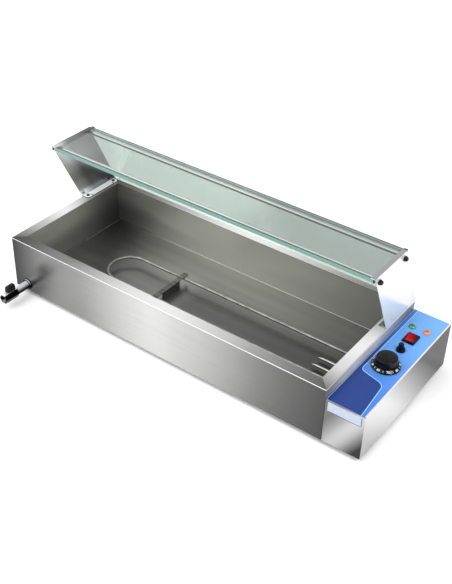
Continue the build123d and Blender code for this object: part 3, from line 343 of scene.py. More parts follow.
def paintWell():
    made = Finish("wellSteel")
    k = wellSteel
    end = abs(made.across).rise(*k["endFacing"])
    flat = made.up.rise(*k["floorFacing"])
    high = made.z.rise(*k["rimward"])
    # Painted light: walls lighter towards the rim, most at the left; the ends lighter towards their
    # front.
    wallLight = high * (k["wallLight"] + made.x.rise(*k["leftLight"]))
    wallTone = made.run(made.x, k["left"], k["right"], k["wallLightRun"]) * (1 + wallLight)
    endLight = high * made.y.rise(*k["endLight"])
    endTone = made.run(made.y, k["front"], k["back"], k["endLightRun"]) * (1 + endLight)
    floorTone = made.run(made.x, k["left"], k["right"], k["floorLightRun"])
    floorTone = floorTone * made.grain(k["streakStretch"], 1.0).swing(1.0, k["streakSwing"])
    # Painted pool of light on the floor.
    lightPool = made.x.rise(*k["lightPoolLeft"]) * made.x.rise(*k["lightPoolRight"])
    lightPool = lightPool * made.y.rise(*k["lightPoolBack"])
    tone = (wallTone * (1 - end) + endTone * end) * (1 - flat)
    tone = tone + floorTone * (1 + k["lightPoolLift"] * lightPool) * flat
    # Painted shade in the bends and the vertical corners.
    bendShade = made.up.rise(*k["bendFacing"]) * (1 - flat)
    bendShade = bendShade * (k["bendShadeDepth"] + made.x.rise(*k["bendShadeLeft"]))
    corner = (abs(made.across) * abs(made.forward)).rise(*k["cornerFacing"])
    brush = made.grain(k["brushStretch"])
    level = tone * brush.swing(1.0, k["brushSwing"])
    level = level * (1 - bendShade) * (1 - k["cornerShadeDepth"] * corner)
    roughness = brush.swing(k["roughness"], k["roughSwing"])
    return made.sheet(level, k["tint"], 1.0, roughness, brush, k["relief"])


# Control box: painted light that falls off towards its lower right corner and its back, with a
# lighter painted top.
boxSteel = {
    "frontLightRun": [(0.0, 116), (0.3, 165), (0.52, 190), (0.75, 150), (1.0, 58)],
    "frontReach": (0.375, 0.475),
    "frontSlant": 0.65,
    "sideLightRun": [(0.0, 180), (0.25, 220), (0.42, 214), (0.75, 96), (0.88, 48), (1.0, 20)],
    "sideReach": (-0.16, 0.2065),
    "sideSlant": 1.1,
    "middle": 0.064,
    "sideFacing": (0.4, 0.9),
    "topFacing": (0.3, 0.9),
    "topLight": 0.9,
    "filmFront": -0.1463,
    "stripShadeDepth": 0.72,
    "joint": 0.3758,
    "jointDepth": 0.75,
    "brushStretch": (60.0, 60.0, 1300.0),
    "brushSwing": 0.12,
    "tint": shade(252, 252, 252),
    "roughness": 0.32,
    "roughSwing": 0.1,
    "relief": 0.08,
}


def paintBox():
    made = Finish("satinBox")
    k = boxSteel
    height = made.z - k["middle"]
    # Painted light on the front and side, a painted top, and painted shade on the top strip in
    # front of the film.
    frontTone = made.run(made.x - k["frontSlant"] * height, *k["frontReach"], k["frontLightRun"])
    sideTone = made.run(made.y + k["sideSlant"] * height, *k["sideReach"], k["sideLightRun"])
    side = made.across.rise(*k["sideFacing"])
    top = made.up.rise(*k["topFacing"])
    topLight = k["topLight"] - k["stripShadeDepth"] * (made.y < k["filmFront"])
    tone = (frontTone * (1 - side) + sideTone * side) * (1 - top) + topLight * top
    tone = tone * (1 - k["jointDepth"] * (made.x < k["joint"]))
    brush = made.grain(k["brushStretch"])
    level = tone * brush.swing(1.0, k["brushSwing"])
    roughness = brush.swing(k["roughness"], k["roughSwing"])
    return made.sheet(level, k["tint"], 1.0, roughness, brush, k["relief"])


# Guard ends: the left one darkens under the glass with painted shade, the right one is near white
# with painted shade towards its rear, on its foot and on its top flange.
guardSteel = {
    "left": {
        "lightTones": [
            (0.0, 250),
            (0.2, 250),
            (0.34, 205),
            (0.5, 232),
            (0.66, 255),
            (0.8, 232),
            (1.0, 225),
        ],
        "metal": 0.9,
        "shadow": 0.85,
        "rearShade": 0.0,
        "foot": 0.0,
        "flange": 0.1,
    },
    "right": {
        "lightTones": [(0.0, 224), (0.5, 224), (1.0, 225)],
        "metal": 0.3,
        "shadow": 0.0,
        "rearShade": 0.14,
        "foot": 0.9,
        "flange": 0.66,
    },
    "low": 0.139,
    "high": 0.308,
    "upFacing": (0.6, 0.9),
    "footTop": 0.16,
    "frontEdge": 0.0815,
    "lean": 0.5,
    "nearEdge": (0.004, 0.05, 0.0, 0.85),
    "deeper": (0.05, 0.11, 0.0, 0.15),
    "rearReach": (0.16, 0.206),
    "brushStretch": (900.0, 900.0, 10.0),
    "brushSwing": 0.12,
    "tint": shade(252, 253, 255),
    "roughness": 0.22,
    "roughSwing": 0.1,
    "relief": 0.06,
}


def paintGuard(end):
    made = Finish(end + "GuardSteel")
    k = guardSteel
    own = k[end]
    tone = made.run(made.z, k["low"], k["high"], own["lightTones"])
    flat = made.up.rise(*k["upFacing"])
    foot = flat * (made.z < k["footTop"])
    flange = flat - foot
    # Painted shade: behind the glass front edge, towards the rear, and on the up-facing foot and
    # flange.
    behind = made.y - k["frontEdge"] + k["lean"] * (made.z - k["low"])
    depth = behind.rise(*k["nearEdge"]) + behind.rise(*k["deeper"])
    tone = tone * (1 - own["shadow"] * depth * (1 - foot))
    tone = tone * (1 - own["rearShade"] * made.y.rise(*k["rearReach"]))
    tone = tone * (1 - own["foot"] * foot) * (1 - own["flange"] * flange)
    brush = made.grain(k["brushStretch"])
    level = tone * brush.swing(1.0, k["brushSwing"])
    metallic = own["metal"] * (1 - foot)
    roughness = brush.swing(k["roughness"], k["roughSwing"])
    return made.sheet(level, k["tint"], metallic, roughness, brush, k["relief"])


# Plain metals: material name, dark tone, light tone, roughness and stretch of the grain.
plainMetals = {
    "bracket": ("bracketSheet", (74, 74, 71), (112, 112, 108), 0.3, (40.0, 300.0, 300.0)),
    "galvanised": ("zincSheet", (150, 152, 154), (182, 184, 186), 0.45, (90.0, 90.0, 90.0)),
    "darkScrew": ("darkScrew", (44, 44, 44), (84, 84, 82), 0.35, (300.0, 300.0, 300.0)),
    "screw": ("zincScrew", (120, 120, 118), (170, 170, 166), 0.35, (300.0, 300.0, 300.0)),
    "brass": ("brassFitting", (170, 132, 62), (206, 170, 96), 0.28, (150.0, 150.0, 150.0)),
    "copper": ("copperTube", (160, 88, 58), (206, 130, 92), 0.3, (200.0, 200.0, 200.0)),
    "sheath": ("heaterSheath", (112, 112, 108), (152, 152, 146), 0.34, (60.0, 400.0, 400.0)),
    "bulb": ("bulbMetal", (140, 140, 136), (178, 178, 172), 0.25, (50.0, 300.0, 300.0)),
    "spindle": ("spindleSteel", (160, 160, 160), (196, 196, 196), 0.25, (300.0, 300.0, 60.0)),
    "terminal": ("terminalPin", (190, 190, 186), (216, 216, 210), 0.2, (100.0, 300.0, 300.0)),
}

# Plain plastics, rubber and print: material name, dark tone, light tone, roughness, grain,
# relief, coat and shine.
plainPlastics = {
    "rubber": ("blackRubber", (24, 24, 24), (38, 38, 38), 0.7, 300.0, 0.15, 0.0, 0.5),
    "gasket": ("fibreGasket", (96, 78, 62), (130, 110, 90), 0.8, 500.0, 0.2, 0.0, 0.5),
    "black": ("glossBlack", (9, 9, 10), (14, 14, 15), 0.1, 120.0, 0.01, 0.0, 0.16),
    "cap": ("blackCap", (12, 12, 13), (22, 22, 23), 0.2, 260.0, 0.05, 0.0, 0.2),
    "lever": ("leverBlack", (9, 9, 10), (17, 17, 18), 0.3, 300.0, 0.05, 0.0, 0.15),
    "blackGasket": ("blackGasket", (16, 16, 16), (28, 28, 28), 0.6, 400.0, 0.1, 0.0, 0.2),
    "seat": ("seatWhite", (226, 226, 220), (240, 240, 236), 0.4, 200.0, 0.04, 0.0, 0.5),
    "body": ("controlBody", (196, 190, 176), (214, 208, 196), 0.5, 200.0, 0.04, 0.0, 0.5),
    "gland": ("glandBlack", (30, 30, 31), (46, 46, 48), 0.5, 250.0, 0.04, 0.0, 0.5),
    "label": ("palePlate", (168, 178, 196), (180, 189, 206), 0.35, 300.0, 0.02, 0.2, 0.5),
    "paleInk": ("paleInk", (150, 196, 250), (164, 206, 253), 0.35, 300.0, 0.02, 0.2, 0.5),
    "plateShade": ("plateShade", (24, 40, 66), (34, 52, 80), 0.4, 300.0, 0.02, 0.0, 0.5),
    "dialInk": ("dialInk", (226, 226, 220), (240, 240, 236), 0.45, 300.0, 0.02, 0.0, 0.5),
}
plain = {
    "mottle": (0.3, 0.7),
    "metalSwing": 0.1,
    "metalRelief": 0.06,
    "plasticSwing": 0.06,
    "coatRoughness": 0.08,
}


def paintMetal(name, dark, light, roughness, stretch):
    made = Finish(name)
    grain = made.grain(stretch)
    inputs = {
        "Base Color": made.blend(grain.rise(*plain["mottle"]), shade(*dark), shade(*light)),
        "Metallic": 1.0,
        "Roughness": grain.swing(roughness, plain["metalSwing"]),
        "Normal": made.bump(grain, plain["metalRelief"]),
    }
    return made.show(made.skin(inputs))


def paintPlastic(name, dark, light, roughness, fine, relief, coat, shine):
    made = Finish(name)
    grain = made.grain((fine, fine, fine))
    inputs = {
        "Base Color": made.blend(grain.rise(*plain["mottle"]), shade(*dark), shade(*light)),
        "Roughness": grain.swing(roughness, plain["plasticSwing"]),
        "Specular IOR Level": shine,
        "Coat Weight": coat,
        "Coat Roughness": plain["coatRoughness"],
        "Normal": made.bump(grain, relief),
    }
    return made.show(made.skin(inputs))


# Tie rods: a painted highlight along the top, painted shade down the sides.
rodSteel = {
    "lit": (0.35, 0.95, 0.05, 0.62),
    "stretch": (20.0, 400.0, 400.0),
    "swing": 0.16,
    "tint": shade(250, 248, 248),
    "roughness": 0.13,
    "roughSwing": 0.06,
}


def paintRod():
    made = Finish("polishedRod")
    k = rodSteel
    grain = made.grain(k["stretch"])
    level = made.up.rise(*k["lit"]) * grain.swing(1.0, k["swing"])
    inputs = {
        "Base Color": made.blend(level, black, k["tint"]),
        "Metallic": 1.0,
        "Roughness": grain.swing(k["roughness"], k["roughSwing"]),
    }
    return made.show(made.skin(inputs))


# Tap plating: a painted highlight on top, and painted shade where the metal looks down at its own
# shadow, or on the hexagon at the front also where it looks sideways.
tapPlating = {
    "darkBelow": (-0.1868, -0.1862, 0.52, 0.05),
    "brightAbove": 0.92,
    "lightTones": (0.012, 1.0),
    "cloudStretch": (60.0, 60.0, 60.0),
    "cloud": (0.91, 0.14),
    "tint": shade(246, 247, 250),
    "brightDull": 0.5,
    "roughness": (0.13, 0.06),
}


def paintTap():
    made = Finish("brightPlating")
    k = tapPlating
    lit = made.up.rise(made.y.rise(*k["darkBelow"]), k["brightAbove"], *k["lightTones"])
    cloud = made.grain(k["cloudStretch"], 2.0)
    inputs = {
        "Base Color": made.blend(lit * cloud.swing(*k["cloud"]), black, k["tint"]),
        "Metallic": 1 - k["brightDull"] * lit,
        "Roughness": cloud.swing(*k["roughness"]),
    }
    return made.show(made.skin(inputs))


# Glass: clear through its faces, with painted shade falling off towards the right, sea green where
# its edge shows.
glass = {
    "through": shade(215, 225, 221),
    "shadeFall": (0.0, 0.11, 1.0, 0.8),
    "ior": 1.5,
    "shine": 0.2,
    "paneRoughness": 0.01,
    "waveStretch": (3.0, 3.0, 3.0),
    "faceShare": (0.85, 0.97),
    "rearEdge": shade(78, 104, 96),
    "towardsRear": (0.02, 0.1),
    "edgeRoughness": (0.17, 0.1),
    "edgeCoat": 0.3,
}


def paintGlass(name, faceNormal, edgeColour):
    made = Finish(name)
    k = glass
    aligned = made.node(
        "ShaderNodeVectorMath", {"operation": "DOT_PRODUCT"}, {0: made.facing, 1: faceNormal}
    )
    edge = 1 - abs(Field(made, aligned.outputs["Value"])).rise(*k["faceShare"])
    wave = made.grain(k["waveStretch"], 1.0)
    # Painted shade: the pane's tint falls off towards the right.
    pane = {
        "Base Color": made.blend(made.x.rise(*k["shadeFall"]), black, k["through"]),
        "Transmission Weight": 1.0,
        "IOR": k["ior"],
        "Specular IOR Level": k["shine"],
        "Roughness": k["paneRoughness"] * wave,
    }
    rim = {
        "Base Color": made.blend(made.y.rise(*k["towardsRear"]), edgeColour, k["rearEdge"]),
        "Roughness": wave.swing(*k["edgeRoughness"]),
        "Coat Weight": k["edgeCoat"],
    }
    surfaces = {0: edge, 1: made.skin(pane), 2: made.skin(rim)}
    return made.show(made.node("ShaderNodeMixShader", inputs=surfaces).outputs[0])


# Printed film on the control box: light blue and dark blue, both deeper towards the front.
panelFilm = {
    "lightDepth": (-0.15, 0.2),
    "lightAcross": (0.38, 0.455),
    "lightFront": (shade(54, 104, 184), shade(56, 110, 194)),
    "lightBack": (shade(98, 158, 222), shade(106, 166, 236)),
    "darkDepth": (0.0, 0.19),
    "dark": (shade(12, 50, 118), shade(60, 110, 194)),
    "speckStretch": (700.0, 700.0, 700.0),
    "roughness": (0.33, 0.06),
    "shine": 0.3,
    "coat": 0.1,
    "coatRoughness": 0.12,
    "relief": 0.05,
    "reliefDepth": 0.0001,
}


def showFilm(made, colour):
    k = panelFilm
    speck = made.grain(k["speckStretch"], 2.0)
    inputs = {
        "Base Color": colour,
        "Roughness": speck.swing(*k["roughness"]),
        "Specular IOR Level": k["shine"],
        "Coat Weight": k["coat"],
        "Coat Roughness": k["coatRoughness"],
        "Normal": made.bump(speck, k["relief"], k["reliefDepth"]),
    }
    return made.show(made.skin(inputs))


def paintFilm():
    made = Finish("blueFilm")
    k = panelFilm
    toRight = made.x.rise(*k["lightAcross"])
    front = made.blend(toRight, *k["lightFront"])
    back = made.blend(toRight, *k["lightBack"])
    return showFilm(made, made.blend(made.y.rise(*k["lightDepth"]), front, back))


def paintInk():
    made = Finish("darkBlueInk")
    k = panelFilm
    return showFilm(made, made.blend(made.y.rise(*k["darkDepth"]), *k["dark"]))


# Lenses: deep colour at the middle, bright round the edge.
lens = {
    "edge": (0.001, 0.0075),
    "ridgeStretch": (400.0, 400.0, 400.0),
    "roughness": (0.15, 0.06),
    "through": 0.15,
    "coat": 0.8,
    "coatRoughness": 0.05,
}


def paintLens(name, centre, deep, bright):
    made = Finish(name)
    k = lens
    fromMiddle = ((made.x - centre[0]) ** 2 + (made.y - centre[1]) ** 2) ** 0.5
    ridge = made.grain(k["ridgeStretch"], 1.0)
    inputs = {
        "Base Color": made.blend(fromMiddle.rise(*k["edge"]), deep, bright),
        "Roughness": ridge.swing(*k["roughness"]),
        "Transmission Weight": k["through"],
        "Coat Weight": k["coat"],
        "Coat Roughness": k["coatRoughness"],
    }
    return made.show(made.skin(inputs))


# Rocker: deep red with painted shade that darkens it towards its back and its right.
rockerRed = {
    "lit": shade(176, 5, 12),
    "deep": shade(84, 2, 8),
    "backShare": 0.4,
    "rightShare": 0.6,
    "shadeFall": (0.25, 0.9),
    "cloudStretch": (260.0, 260.0, 260.0),
    "roughness": (0.105, 0.05),
    "shine": 0.12,
    "relief": 0.05,
    "reliefDepth": 0.0003,
}


def paintRocker():
    made = Finish("switchRed")
    k = rockerRed
    low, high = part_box("switch_rocker")
    back = (made.y - low[1]) / (high[1] - low[1])
    right = (made.x - low[0]) / (high[0] - low[0])
    dark = (k["backShare"] * back + k["rightShare"] * right).rise(*k["shadeFall"])
    cloud = made.grain(k["cloudStretch"], 1.0)
    inputs = {
        "Base Color": made.blend(dark, k["lit"], k["deep"]),
        "Roughness": cloud.swing(*k["roughness"]),
        "Specular IOR Level": k["shine"],
        "Normal": made.bump(cloud, k["relief"], k["reliefDepth"]),
    }
    return made.show(made.skin(inputs))


finishes = {
    "casing": paintCasing(),
    "well": paintWell(),
    "box": paintBox(),
    "leftGuard": paintGuard("left"),
    "rightGuard": paintGuard("right"),
    "rod": paintRod(),
    "tap": paintTap(),
    "red": paintRocker(),
    "film": paintFilm(),
    "ink": paintInk(),
    "topGlass": paintGlass("topPane", (0.0, 0.0, 1.0), shade(98, 146, 133)),
    "rearGlass": paintGlass("rearPane", (0.0, 0.894427, 0.447214), shade(86, 128, 116)),
    "green": paintLens("greenLens", (0.4015, 0.1475), shade(6, 60, 44), shade(36, 160, 118)),
    "orange": paintLens("orangeLens", (0.4345, 0.1475), shade(170, 66, 18), shade(244, 140, 66)),
}
for key, settings in plainMetals.items():
    finishes[key] = paintMetal(*settings)
for key, settings in plainPlastics.items():
    finishes[key] = paintPlastic(*settings)

wearing = {
    "casing": ["outer_casing"],
    "well": ["well_tank"],
    "box": ["control_box"],
    "leftGuard": ["left_end_panel"],
    "rightGuard": ["right_end_panel"],
    "galvanised": ["base_plate", "control_box_base"],
    "bracket": ["element_bracket"],
    "screw": ["base_screws", "control_box_screws", "foot_screws", "thermostat_screws"],
    "darkScrew": ["end_panel_screws"],
    "brass": ["drain_sump", "drain_nipple", "element_nuts", "bulb_glands", "bulb_gland_nuts"],
    "copper": ["thermostat_capillary", "limiter_capillary"],
    "sheath": ["heating_element"],
    "bulb": ["thermostat_bulb", "limiter_bulb"],
    "rod": ["tie_rods"],
    "spindle": ["thermostat_spindle", "tap_stem"],
    "terminal": ["element_terminals"],
    "tap": ["tap_body", "tap_outlet", "tap_ball", "stem_bonnet"],
    "rubber": ["rubber_feet"],
    "gasket": ["element_gaskets"],
    "blackGasket": ["tap_gasket"],
    "black": ["thermostat_knob", "reset_button", "reset_collar", "switch_housing"],
    "cap": ["left_cap_nuts", "right_cap_nuts", "glass_corner_caps"],
    "lever": ["tap_lever"],
    "red": ["switch_rocker"],
    "seat": ["element_bushes", "tap_seats"],
    "body": ["thermostat_body", "limiter_body", "lamp_bodies", "terminal_block"],
    "gland": ["cable_gland", "gland_cap", "gland_locknut"],
    "label": ["front_label"],
    "film": ["panel_overlay"],
    "topGlass": ["top_glass"],
    "rearGlass": ["rear_glass"],
    "green": ["green_lamp_lens"],
    "orange": ["orange_lamp_lens"],
}
for finish, names in wearing.items():
    for name in names:
        nodes[name].data.materials.clear()
        nodes[name].data.materials.append(finishes[finish])
for name in ("top_glass", "rear_glass"):
    nodes[name].visible_shadow = False
    nodes[name].visible_glossy = False
print("stage: finishes on", sum(len(names) for names in wearing.values()), "nodes")


def keep(name, mesh, finish, body):
    made = bpy.data.objects.new(name, mesh)
    bpy.context.scene.collection.objects.link(made)
    mesh.materials.clear()
    mesh.materials.append(finishes[finish])
    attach(made, body)


def meshFrom(work, name):
    mesh = bpy.data.meshes.new(name)
    work.to_mesh(mesh)
    work.free()
    return mesh


def roundedOutline(corners, steps):
    # each corner is (x, y, radius)
    outline = []
    for index, (x, y, radius) in enumerate(corners):
        here = Vector((x, y))
        back = Vector(corners[index - 1][:2]) - here
        ahead = Vector(corners[(index + 1) % len(corners)][:2]) - here
        half = back.angle(ahead) / 2
        reach = min(radius / math.tan(half), back.length / 2, ahead.length / 2)
        start, end = here + back.normalized() * reach, here + ahead.normalized() * reach
        for step in range(steps + 1):
            share = step / steps
            outline.append(start.lerp(here, share).lerp(here.lerp(end, share), share))
    return outline


def slab(outline, bottom, top):
    work = bmesh.new()
    low = [work.verts.new((point.x, point.y, bottom)) for point in outline]
    high = [work.verts.new((point.x, point.y, top)) for point in outline]
    count = len(outline)
    work.faces.new(high)
    work.faces.new(low[::-1])
    for index in range(count):
        after = (index + 1) % count
        work.faces.new((low[index], low[after], high[after], high[index]))
    bmesh.ops.recalc_face_normals(work, faces=work.faces)
    return meshFrom(work, "slab")


# Dark print beside the casing, widening into a field at the front, with its pale outline and
# a pale border along the joint. Corners are (x, y, radius) in millimetres.
printField = {
    "face": 0.1179,
    "ink": 0.00006,
    "line": 0.0013,
    "corners": [
        (376.75, 204.5, 0.2),
        (385.0, 204.5, 0.2),
        (384.0, -33.5, 14.0),
        (441.5, -48.5, 19.0),
        (450.2, -146.5, 0.2),
        (376.75, -146.5, 0.2),
    ],
    "cornerSteps": 8,
    "borderAcross": (0.37665, 0.3775),
    "borderAlong": (-0.1465, 0.2045),
}


def keepPrint(name, outline, bottom, top, finish):
    keep(name, slab(outline, bottom, top), finish, "cabinet")


def makePrint():
    k = printField
    face, ink = k["face"], k["ink"]
    corners = [(x / 1000, y / 1000, radius / 1000) for x, y, radius in k["corners"]]
    outline = roundedOutline(corners, k["cornerSteps"])
    keepPrint("darkPrint", outline, face, face + 2 * ink, "ink")
    perCorner = k["cornerSteps"] + 1
    edge = outline[perCorner:-perCorner]
    grown = []
    for index in range(len(edge)):
        before, after = edge[max(index - 1, 0)], edge[min(index + 1, len(edge) - 1)]
        along = (after - before).normalized()
        grown.append(edge[index] + Vector((-along.y, along.x)) * k["line"])
    keepPrint("printOutline", edge + grown[::-1], face, face + ink, "paleInk")
    (left, right), (front, back) = k["borderAcross"], k["borderAlong"]
    spots = ((left, front), (right, front), (right, back), (left, back))
    bottom = face + 2 * ink
    keepPrint("printBorder", [Vector(spot) for spot in spots], bottom, bottom + ink / 2, "paleInk")


makePrint()


def addBox(work, low, high):
    for vert in bmesh.ops.create_cube(work, size=1.0)["verts"]:
        vert.co = Vector([a + (b - a) * (part + 0.5) for a, b, part in zip(low, high, vert.co)])


# Painted shade: a dark edge along the foot and the right side of the blank plate.
plateEdge = {"wide": 0.0011, "proud": 0.00008, "corner": 0.0015}


def makePlateShadow():
    k = plateEdge
    low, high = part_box("front_label")
    near, far = low[1] - k["proud"], low[1] + k["proud"]
    foot, right, corner = low[2], high[0], k["corner"]
    work = bmesh.new()
    addBox(work, (low[0] + corner, near, foot), (right - corner, far, foot + k["wide"]))
    addBox(work, (right - k["wide"], near, foot + corner), (right, far, high[2] - corner))
    keep("plateEdge", meshFrom(work, "plateEdge"), "plateShade", "cabinet")


makePlateShadow()
print("stage: panel print")


def repeated(name, unit, spots, start, step, finish):
    # a copy of unit at each spot, each turned one step further about Z
    tree = bpy.data.node_groups.new(name + "Tree", "GeometryNodeTree")
    face = tree.interface
    face.new_socket("Geometry", in_out="INPUT", socket_type="NodeSocketGeometry")
    sockets = {
        "Unit": face.new_socket("Unit", in_out="INPUT", socket_type="NodeSocketObject"),
        "Start": face.new_socket("Start", in_out="INPUT", socket_type="NodeSocketFloat"),
        "Step": face.new_socket("Step", in_out="INPUT", socket_type="NodeSocketFloat"),
    }
    face.new_socket("Geometry", in_out="OUTPUT", socket_type="NodeSocketGeometry")

    def add(kind, inputs=None, **settings):
        made = tree.nodes.new(kind)
        for key, value in settings.items():
            setattr(made, key, value)
        for key, value in (inputs or {}).items():
            if isinstance(value, bpy.types.NodeSocket):
                tree.links.new(value, made.inputs[key])
            else:
                made.inputs[key].default_value = value
        return made

    given = add("NodeGroupInput")
    index = add("GeometryNodeInputIndex")
    turn = add(
        "ShaderNodeMath",
        {0: index.outputs[0], 1: given.outputs["Step"], 2: given.outputs["Start"]},
        operation="MULTIPLY_ADD",
    )
    spin = add("ShaderNodeCombineXYZ", {"Z": turn.outputs[0]})
    shape = add("GeometryNodeObjectInfo", {"Object": given.outputs["Unit"]})
    placed = add(
        "GeometryNodeInstanceOnPoints",
        {
            "Points": given.outputs["Geometry"],
            "Instance": shape.outputs["Geometry"],
            "Rotation": spin.outputs[0],
        },
    )
    real = add("GeometryNodeRealizeInstances", {"Geometry": placed.outputs[0]})
    dressed = add(
        "GeometryNodeSetMaterial", {"Geometry": real.outputs[0], "Material": finishes[finish]}
    )
    add("NodeGroupOutput", {0: dressed.outputs[0]})
    points = bpy.data.meshes.new(name + "Spots")
    points.from_pydata([tuple(spot) for spot in spots], [], [])
    holder = bpy.data.objects.new(name + "Holder", points)
    bpy.context.scene.collection.objects.link(holder)
    modifier = holder.modifiers.new("repeat", "NODES")
    modifier.node_group = tree
    modifier[sockets["Unit"].identifier] = unit
    modifier[sockets["Start"].identifier] = start
    modifier[sockets["Step"].identifier] = step
    bpy.context.view_layer.update()
    graph = bpy.context.evaluated_depsgraph_get()
    mesh = bpy.data.meshes.new_from_object(holder.evaluated_get(graph))
    holder.modifiers.remove(modifier)
    bpy.data.objects.remove(holder)
    bpy.data.objects.remove(unit)
    return mesh


# Dial: numbers and ticks printed on the knob's sloping skirt, whose foot and head are each
# (distance from the axis, height).
dial = {
    "axis": Vector((0.418, 0.0055, 0.0)),
    "slopeFoot": (0.0295, 0.1212),
    "slopeHead": (0.0245, 0.1257),
    "numbers": ["30", "40", "50", "60", "70", "80", "90"],
    "first": -222.0,
    "apart": 42.0,
    "height": 0.0048,
    "heightToSize": 1.36,
    "bolder": 0.00006,
    "curveSteps": 4,
    "numberShare": 0.48,
    "sunk": 0.00025,
    "proud": 0.00006,
    "tickSize": (0.0036, 0.0007),
    "tickShare": 0.5,
    "tickBevel": 0.00003,
}


def skirtFrame(degrees, share):
    # the plane of the skirt at one angle, with its up side towards the cap
    k = dial
    turn = math.radians(degrees)
    out = Vector((math.cos(turn), math.sin(turn), 0.0))
    slope = (k["slopeFoot"], k["slopeHead"])
    foot, head = (reach * out + Vector((0.0, 0.0, height)) for reach, height in slope)
    up = (head - foot).normalized()
    right = Vector((-out.y, out.x, 0.0))
    rows = Matrix((right, up, right.cross(up))).transposed().to_4x4()
    return Matrix.Translation(foot.lerp(head, share) + k["axis"]) @ rows


def makeNumbers():
    k = dial
    lift = Matrix.Translation((0.0, 0.0, (k["proud"] - k["sunk"]) / 2))
    work = bmesh.new()
    for index, text in enumerate(k["numbers"]):
        curve = bpy.data.curves.new("number" + text, "FONT")
        curve.body = text
        curve.size = k["height"] * k["heightToSize"]
        curve.align_x = "CENTER"
        curve.align_y = "CENTER"
        curve.extrude = (k["sunk"] + k["proud"]) / 2
        curve.offset = k["bolder"]
        curve.resolution_u = k["curveSteps"]
        holder = bpy.data.objects.new("holder" + text, curve)
        bpy.context.scene.collection.objects.link(holder)
        bpy.context.view_layer.update()
        graph = bpy.context.evaluated_depsgraph_get()
        mesh = bpy.data.meshes.new_from_object(holder.evaluated_get(graph))
        mesh.transform(skirtFrame(k["first"] + index * k["apart"], k["numberShare"]) @ lift)
        work.from_mesh(mesh)
        bpy.data.objects.remove(holder)
    keep("dialNumbers", meshFrom(work, "dialNumbers"), "dialInk", "knob")


def makeTicks():
    k = dial
    tall, wide = k["tickSize"]
    work = bmesh.new()
    addBox(work, (-wide / 2, -tall / 2, -k["sunk"]), (wide / 2, tall / 2, k["proud"]))
    bmesh.ops.bevel(
        work, geom=work.edges[:], offset=k["tickBevel"], segments=2, affect="EDGES", profile=0.5
    )
    tick = bpy.data.objects.new("tickUnit", meshFrom(work, "tickUnit"))
    bpy.context.scene.collection.objects.link(tick)
    tick.data.transform(Matrix.Translation(-k["axis"]) @ skirtFrame(0.0, k["tickShare"]))
    spots = [k["axis"]] * (len(k["numbers"]) - 1)
    start, step = math.radians(k["first"] + k["apart"] / 2), math.radians(k["apart"])
    mesh = repeated("dialTicks", tick, spots, start, step, "dialInk")
    keep("dialTicks", mesh, "dialInk", "knob")


makeNumbers()
makeTicks()
print("stage: dial")

# Lever screw: a small head with a round recess, on the lever over the stem. Its profile runs
# from the rim in to the axis, each point (share of the radius, height).
leverScrew = {
    "spot": (-0.41575, -0.2015, 0.05299),
    "radius": 0.0028,
    "profile": [
        (1.0, -0.001),
        (1.0, 0.0),
        (0.8, 0.0001),
        (0.42, 0.0001),
        (0.36, -0.0006),
        (0.0, -0.0008),
    ],
    "steps": 32,
}


def makeLeverScrew():
    k = leverScrew
    spot, steps = Vector(k["spot"]), k["steps"]
    work = bmesh.new()
    rings = []
    for share, height in k["profile"]:
        ring = []
        for step in range(steps if share > 0 else 1):
            turn = 2 * math.pi * step / steps
            across = share * k["radius"] * Vector((math.cos(turn), math.sin(turn), 0.0))
            ring.append(work.verts.new(spot + across + Vector((0.0, 0.0, height))))
        rings.append(ring)
    for outer, inner in zip(rings, rings[1:]):
        for step in range(steps):
            after = (step + 1) % steps
            inside = (inner[after], inner[step]) if len(inner) > 1 else (inner[0],)
            work.faces.new((outer[step], outer[after], *inside))
    bmesh.ops.recalc_face_normals(work, faces=work.faces)
    for face in work.faces:
        face.smooth = True
    keep("leverScrew", meshFrom(work, "leverScrew"), "screw", "tap_valve")


makeLeverScrew()
print("stage: lever screw")

# Camera: where the photograph was taken from, with its own right, up and backward directions.
camera = {
    "place": (1.002742, -1.372558, 1.35643),
    "right": (0.8056403, 0.5917996, 0.0267757),
    "up": (-0.3677306, 0.4641474, 0.8058172),
    "behind": (0.4644545, -0.659045, 0.5915587),
    "focal": 982.4876,
    "tall": 584,
    "sensor": 36.0,
    "nearest": 0.05,
    "farthest": 60.0,
}


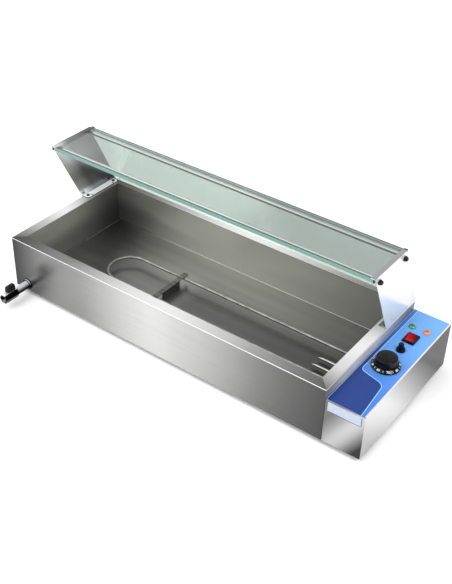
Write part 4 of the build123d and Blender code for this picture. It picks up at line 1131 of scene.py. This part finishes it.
def makeCamera():
    k = camera
    lensData = bpy.data.cameras.new("mainCamera")
    lensData.sensor_width = k["sensor"]
    lensData.lens = k["focal"] * k["sensor"] / k["tall"]
    lensData.clip_start = k["nearest"]
    lensData.clip_end = k["farthest"]
    viewer = bpy.data.objects.new("mainCamera", lensData)
    bpy.context.scene.collection.objects.link(viewer)
    turned = Matrix((k["right"], k["up"], k["behind"])).transposed().to_4x4()
    viewer.matrix_world = Matrix.Translation(k["place"]) @ turned
    bpy.context.scene.camera = viewer
    bpy.context.scene.view_settings.view_transform = "Standard"


makeCamera()

# Studio: pale floor, white surroundings and two soft lights.
studio = {
    "air": 1.0,
    "airColour": (1.0, 1.0, 1.0, 1.0),
    "floorTones": (shade(246, 246, 246), shade(250, 250, 250)),
    "mottleStretch": (2.0, 2.0, 2.0),
    "floorRoughness": 0.85,
    "floorShine": 0.2,
    "floorReach": 7.0,
    "lights": [
        # name, place, target, size, power
        ("keyLight", (-1.1, -1.5, 2.3), (0.0, 0.0, 0.1), 3.2, 58.0),
        ("fillLight", (1.9, -0.3, 1.9), (0.2, 0.0, 0.1), 0.5, 18.0),
    ],
}


def makeFloor():
    k = studio
    paper = Finish("paleFloor")
    inputs = {
        "Base Color": paper.blend(paper.grain(k["mottleStretch"], 2.0), *k["floorTones"]),
        "Roughness": k["floorRoughness"],
        "Specular IOR Level": k["floorShine"],
    }
    paper.show(paper.skin(inputs))
    reach = k["floorReach"]
    spots = [(-reach, -reach, 0.0), (reach, -reach, 0.0), (reach, reach, 0.0), (-reach, reach, 0.0)]
    mesh = bpy.data.meshes.new("floor")
    mesh.from_pydata(spots, [], [(0, 1, 2, 3)])
    mesh.materials.append(paper.material)
    floor = bpy.data.objects.new("floor", mesh)
    bpy.context.scene.collection.objects.link(floor)


def makeLights():
    k = studio
    world = bpy.data.worlds.new("studioAir")
    bpy.context.scene.world = world
    world.use_nodes = True
    background = world.node_tree.nodes["Background"]
    background.inputs["Color"].default_value = k["airColour"]
    background.inputs["Strength"].default_value = k["air"]
    for name, place, target, size, power in k["lights"]:
        lamp = bpy.data.lights.new(name, "AREA")
        lamp.shape = "SQUARE"
        lamp.size = size
        lamp.energy = power
        made = bpy.data.objects.new(name, lamp)
        made.location = place
        aim = Vector(target) - Vector(place)
        made.rotation_euler = aim.to_track_quat("-Z", "Y").to_euler()
        bpy.context.scene.collection.objects.link(made)


makeFloor()
makeLights()
print("stage: camera and studio")
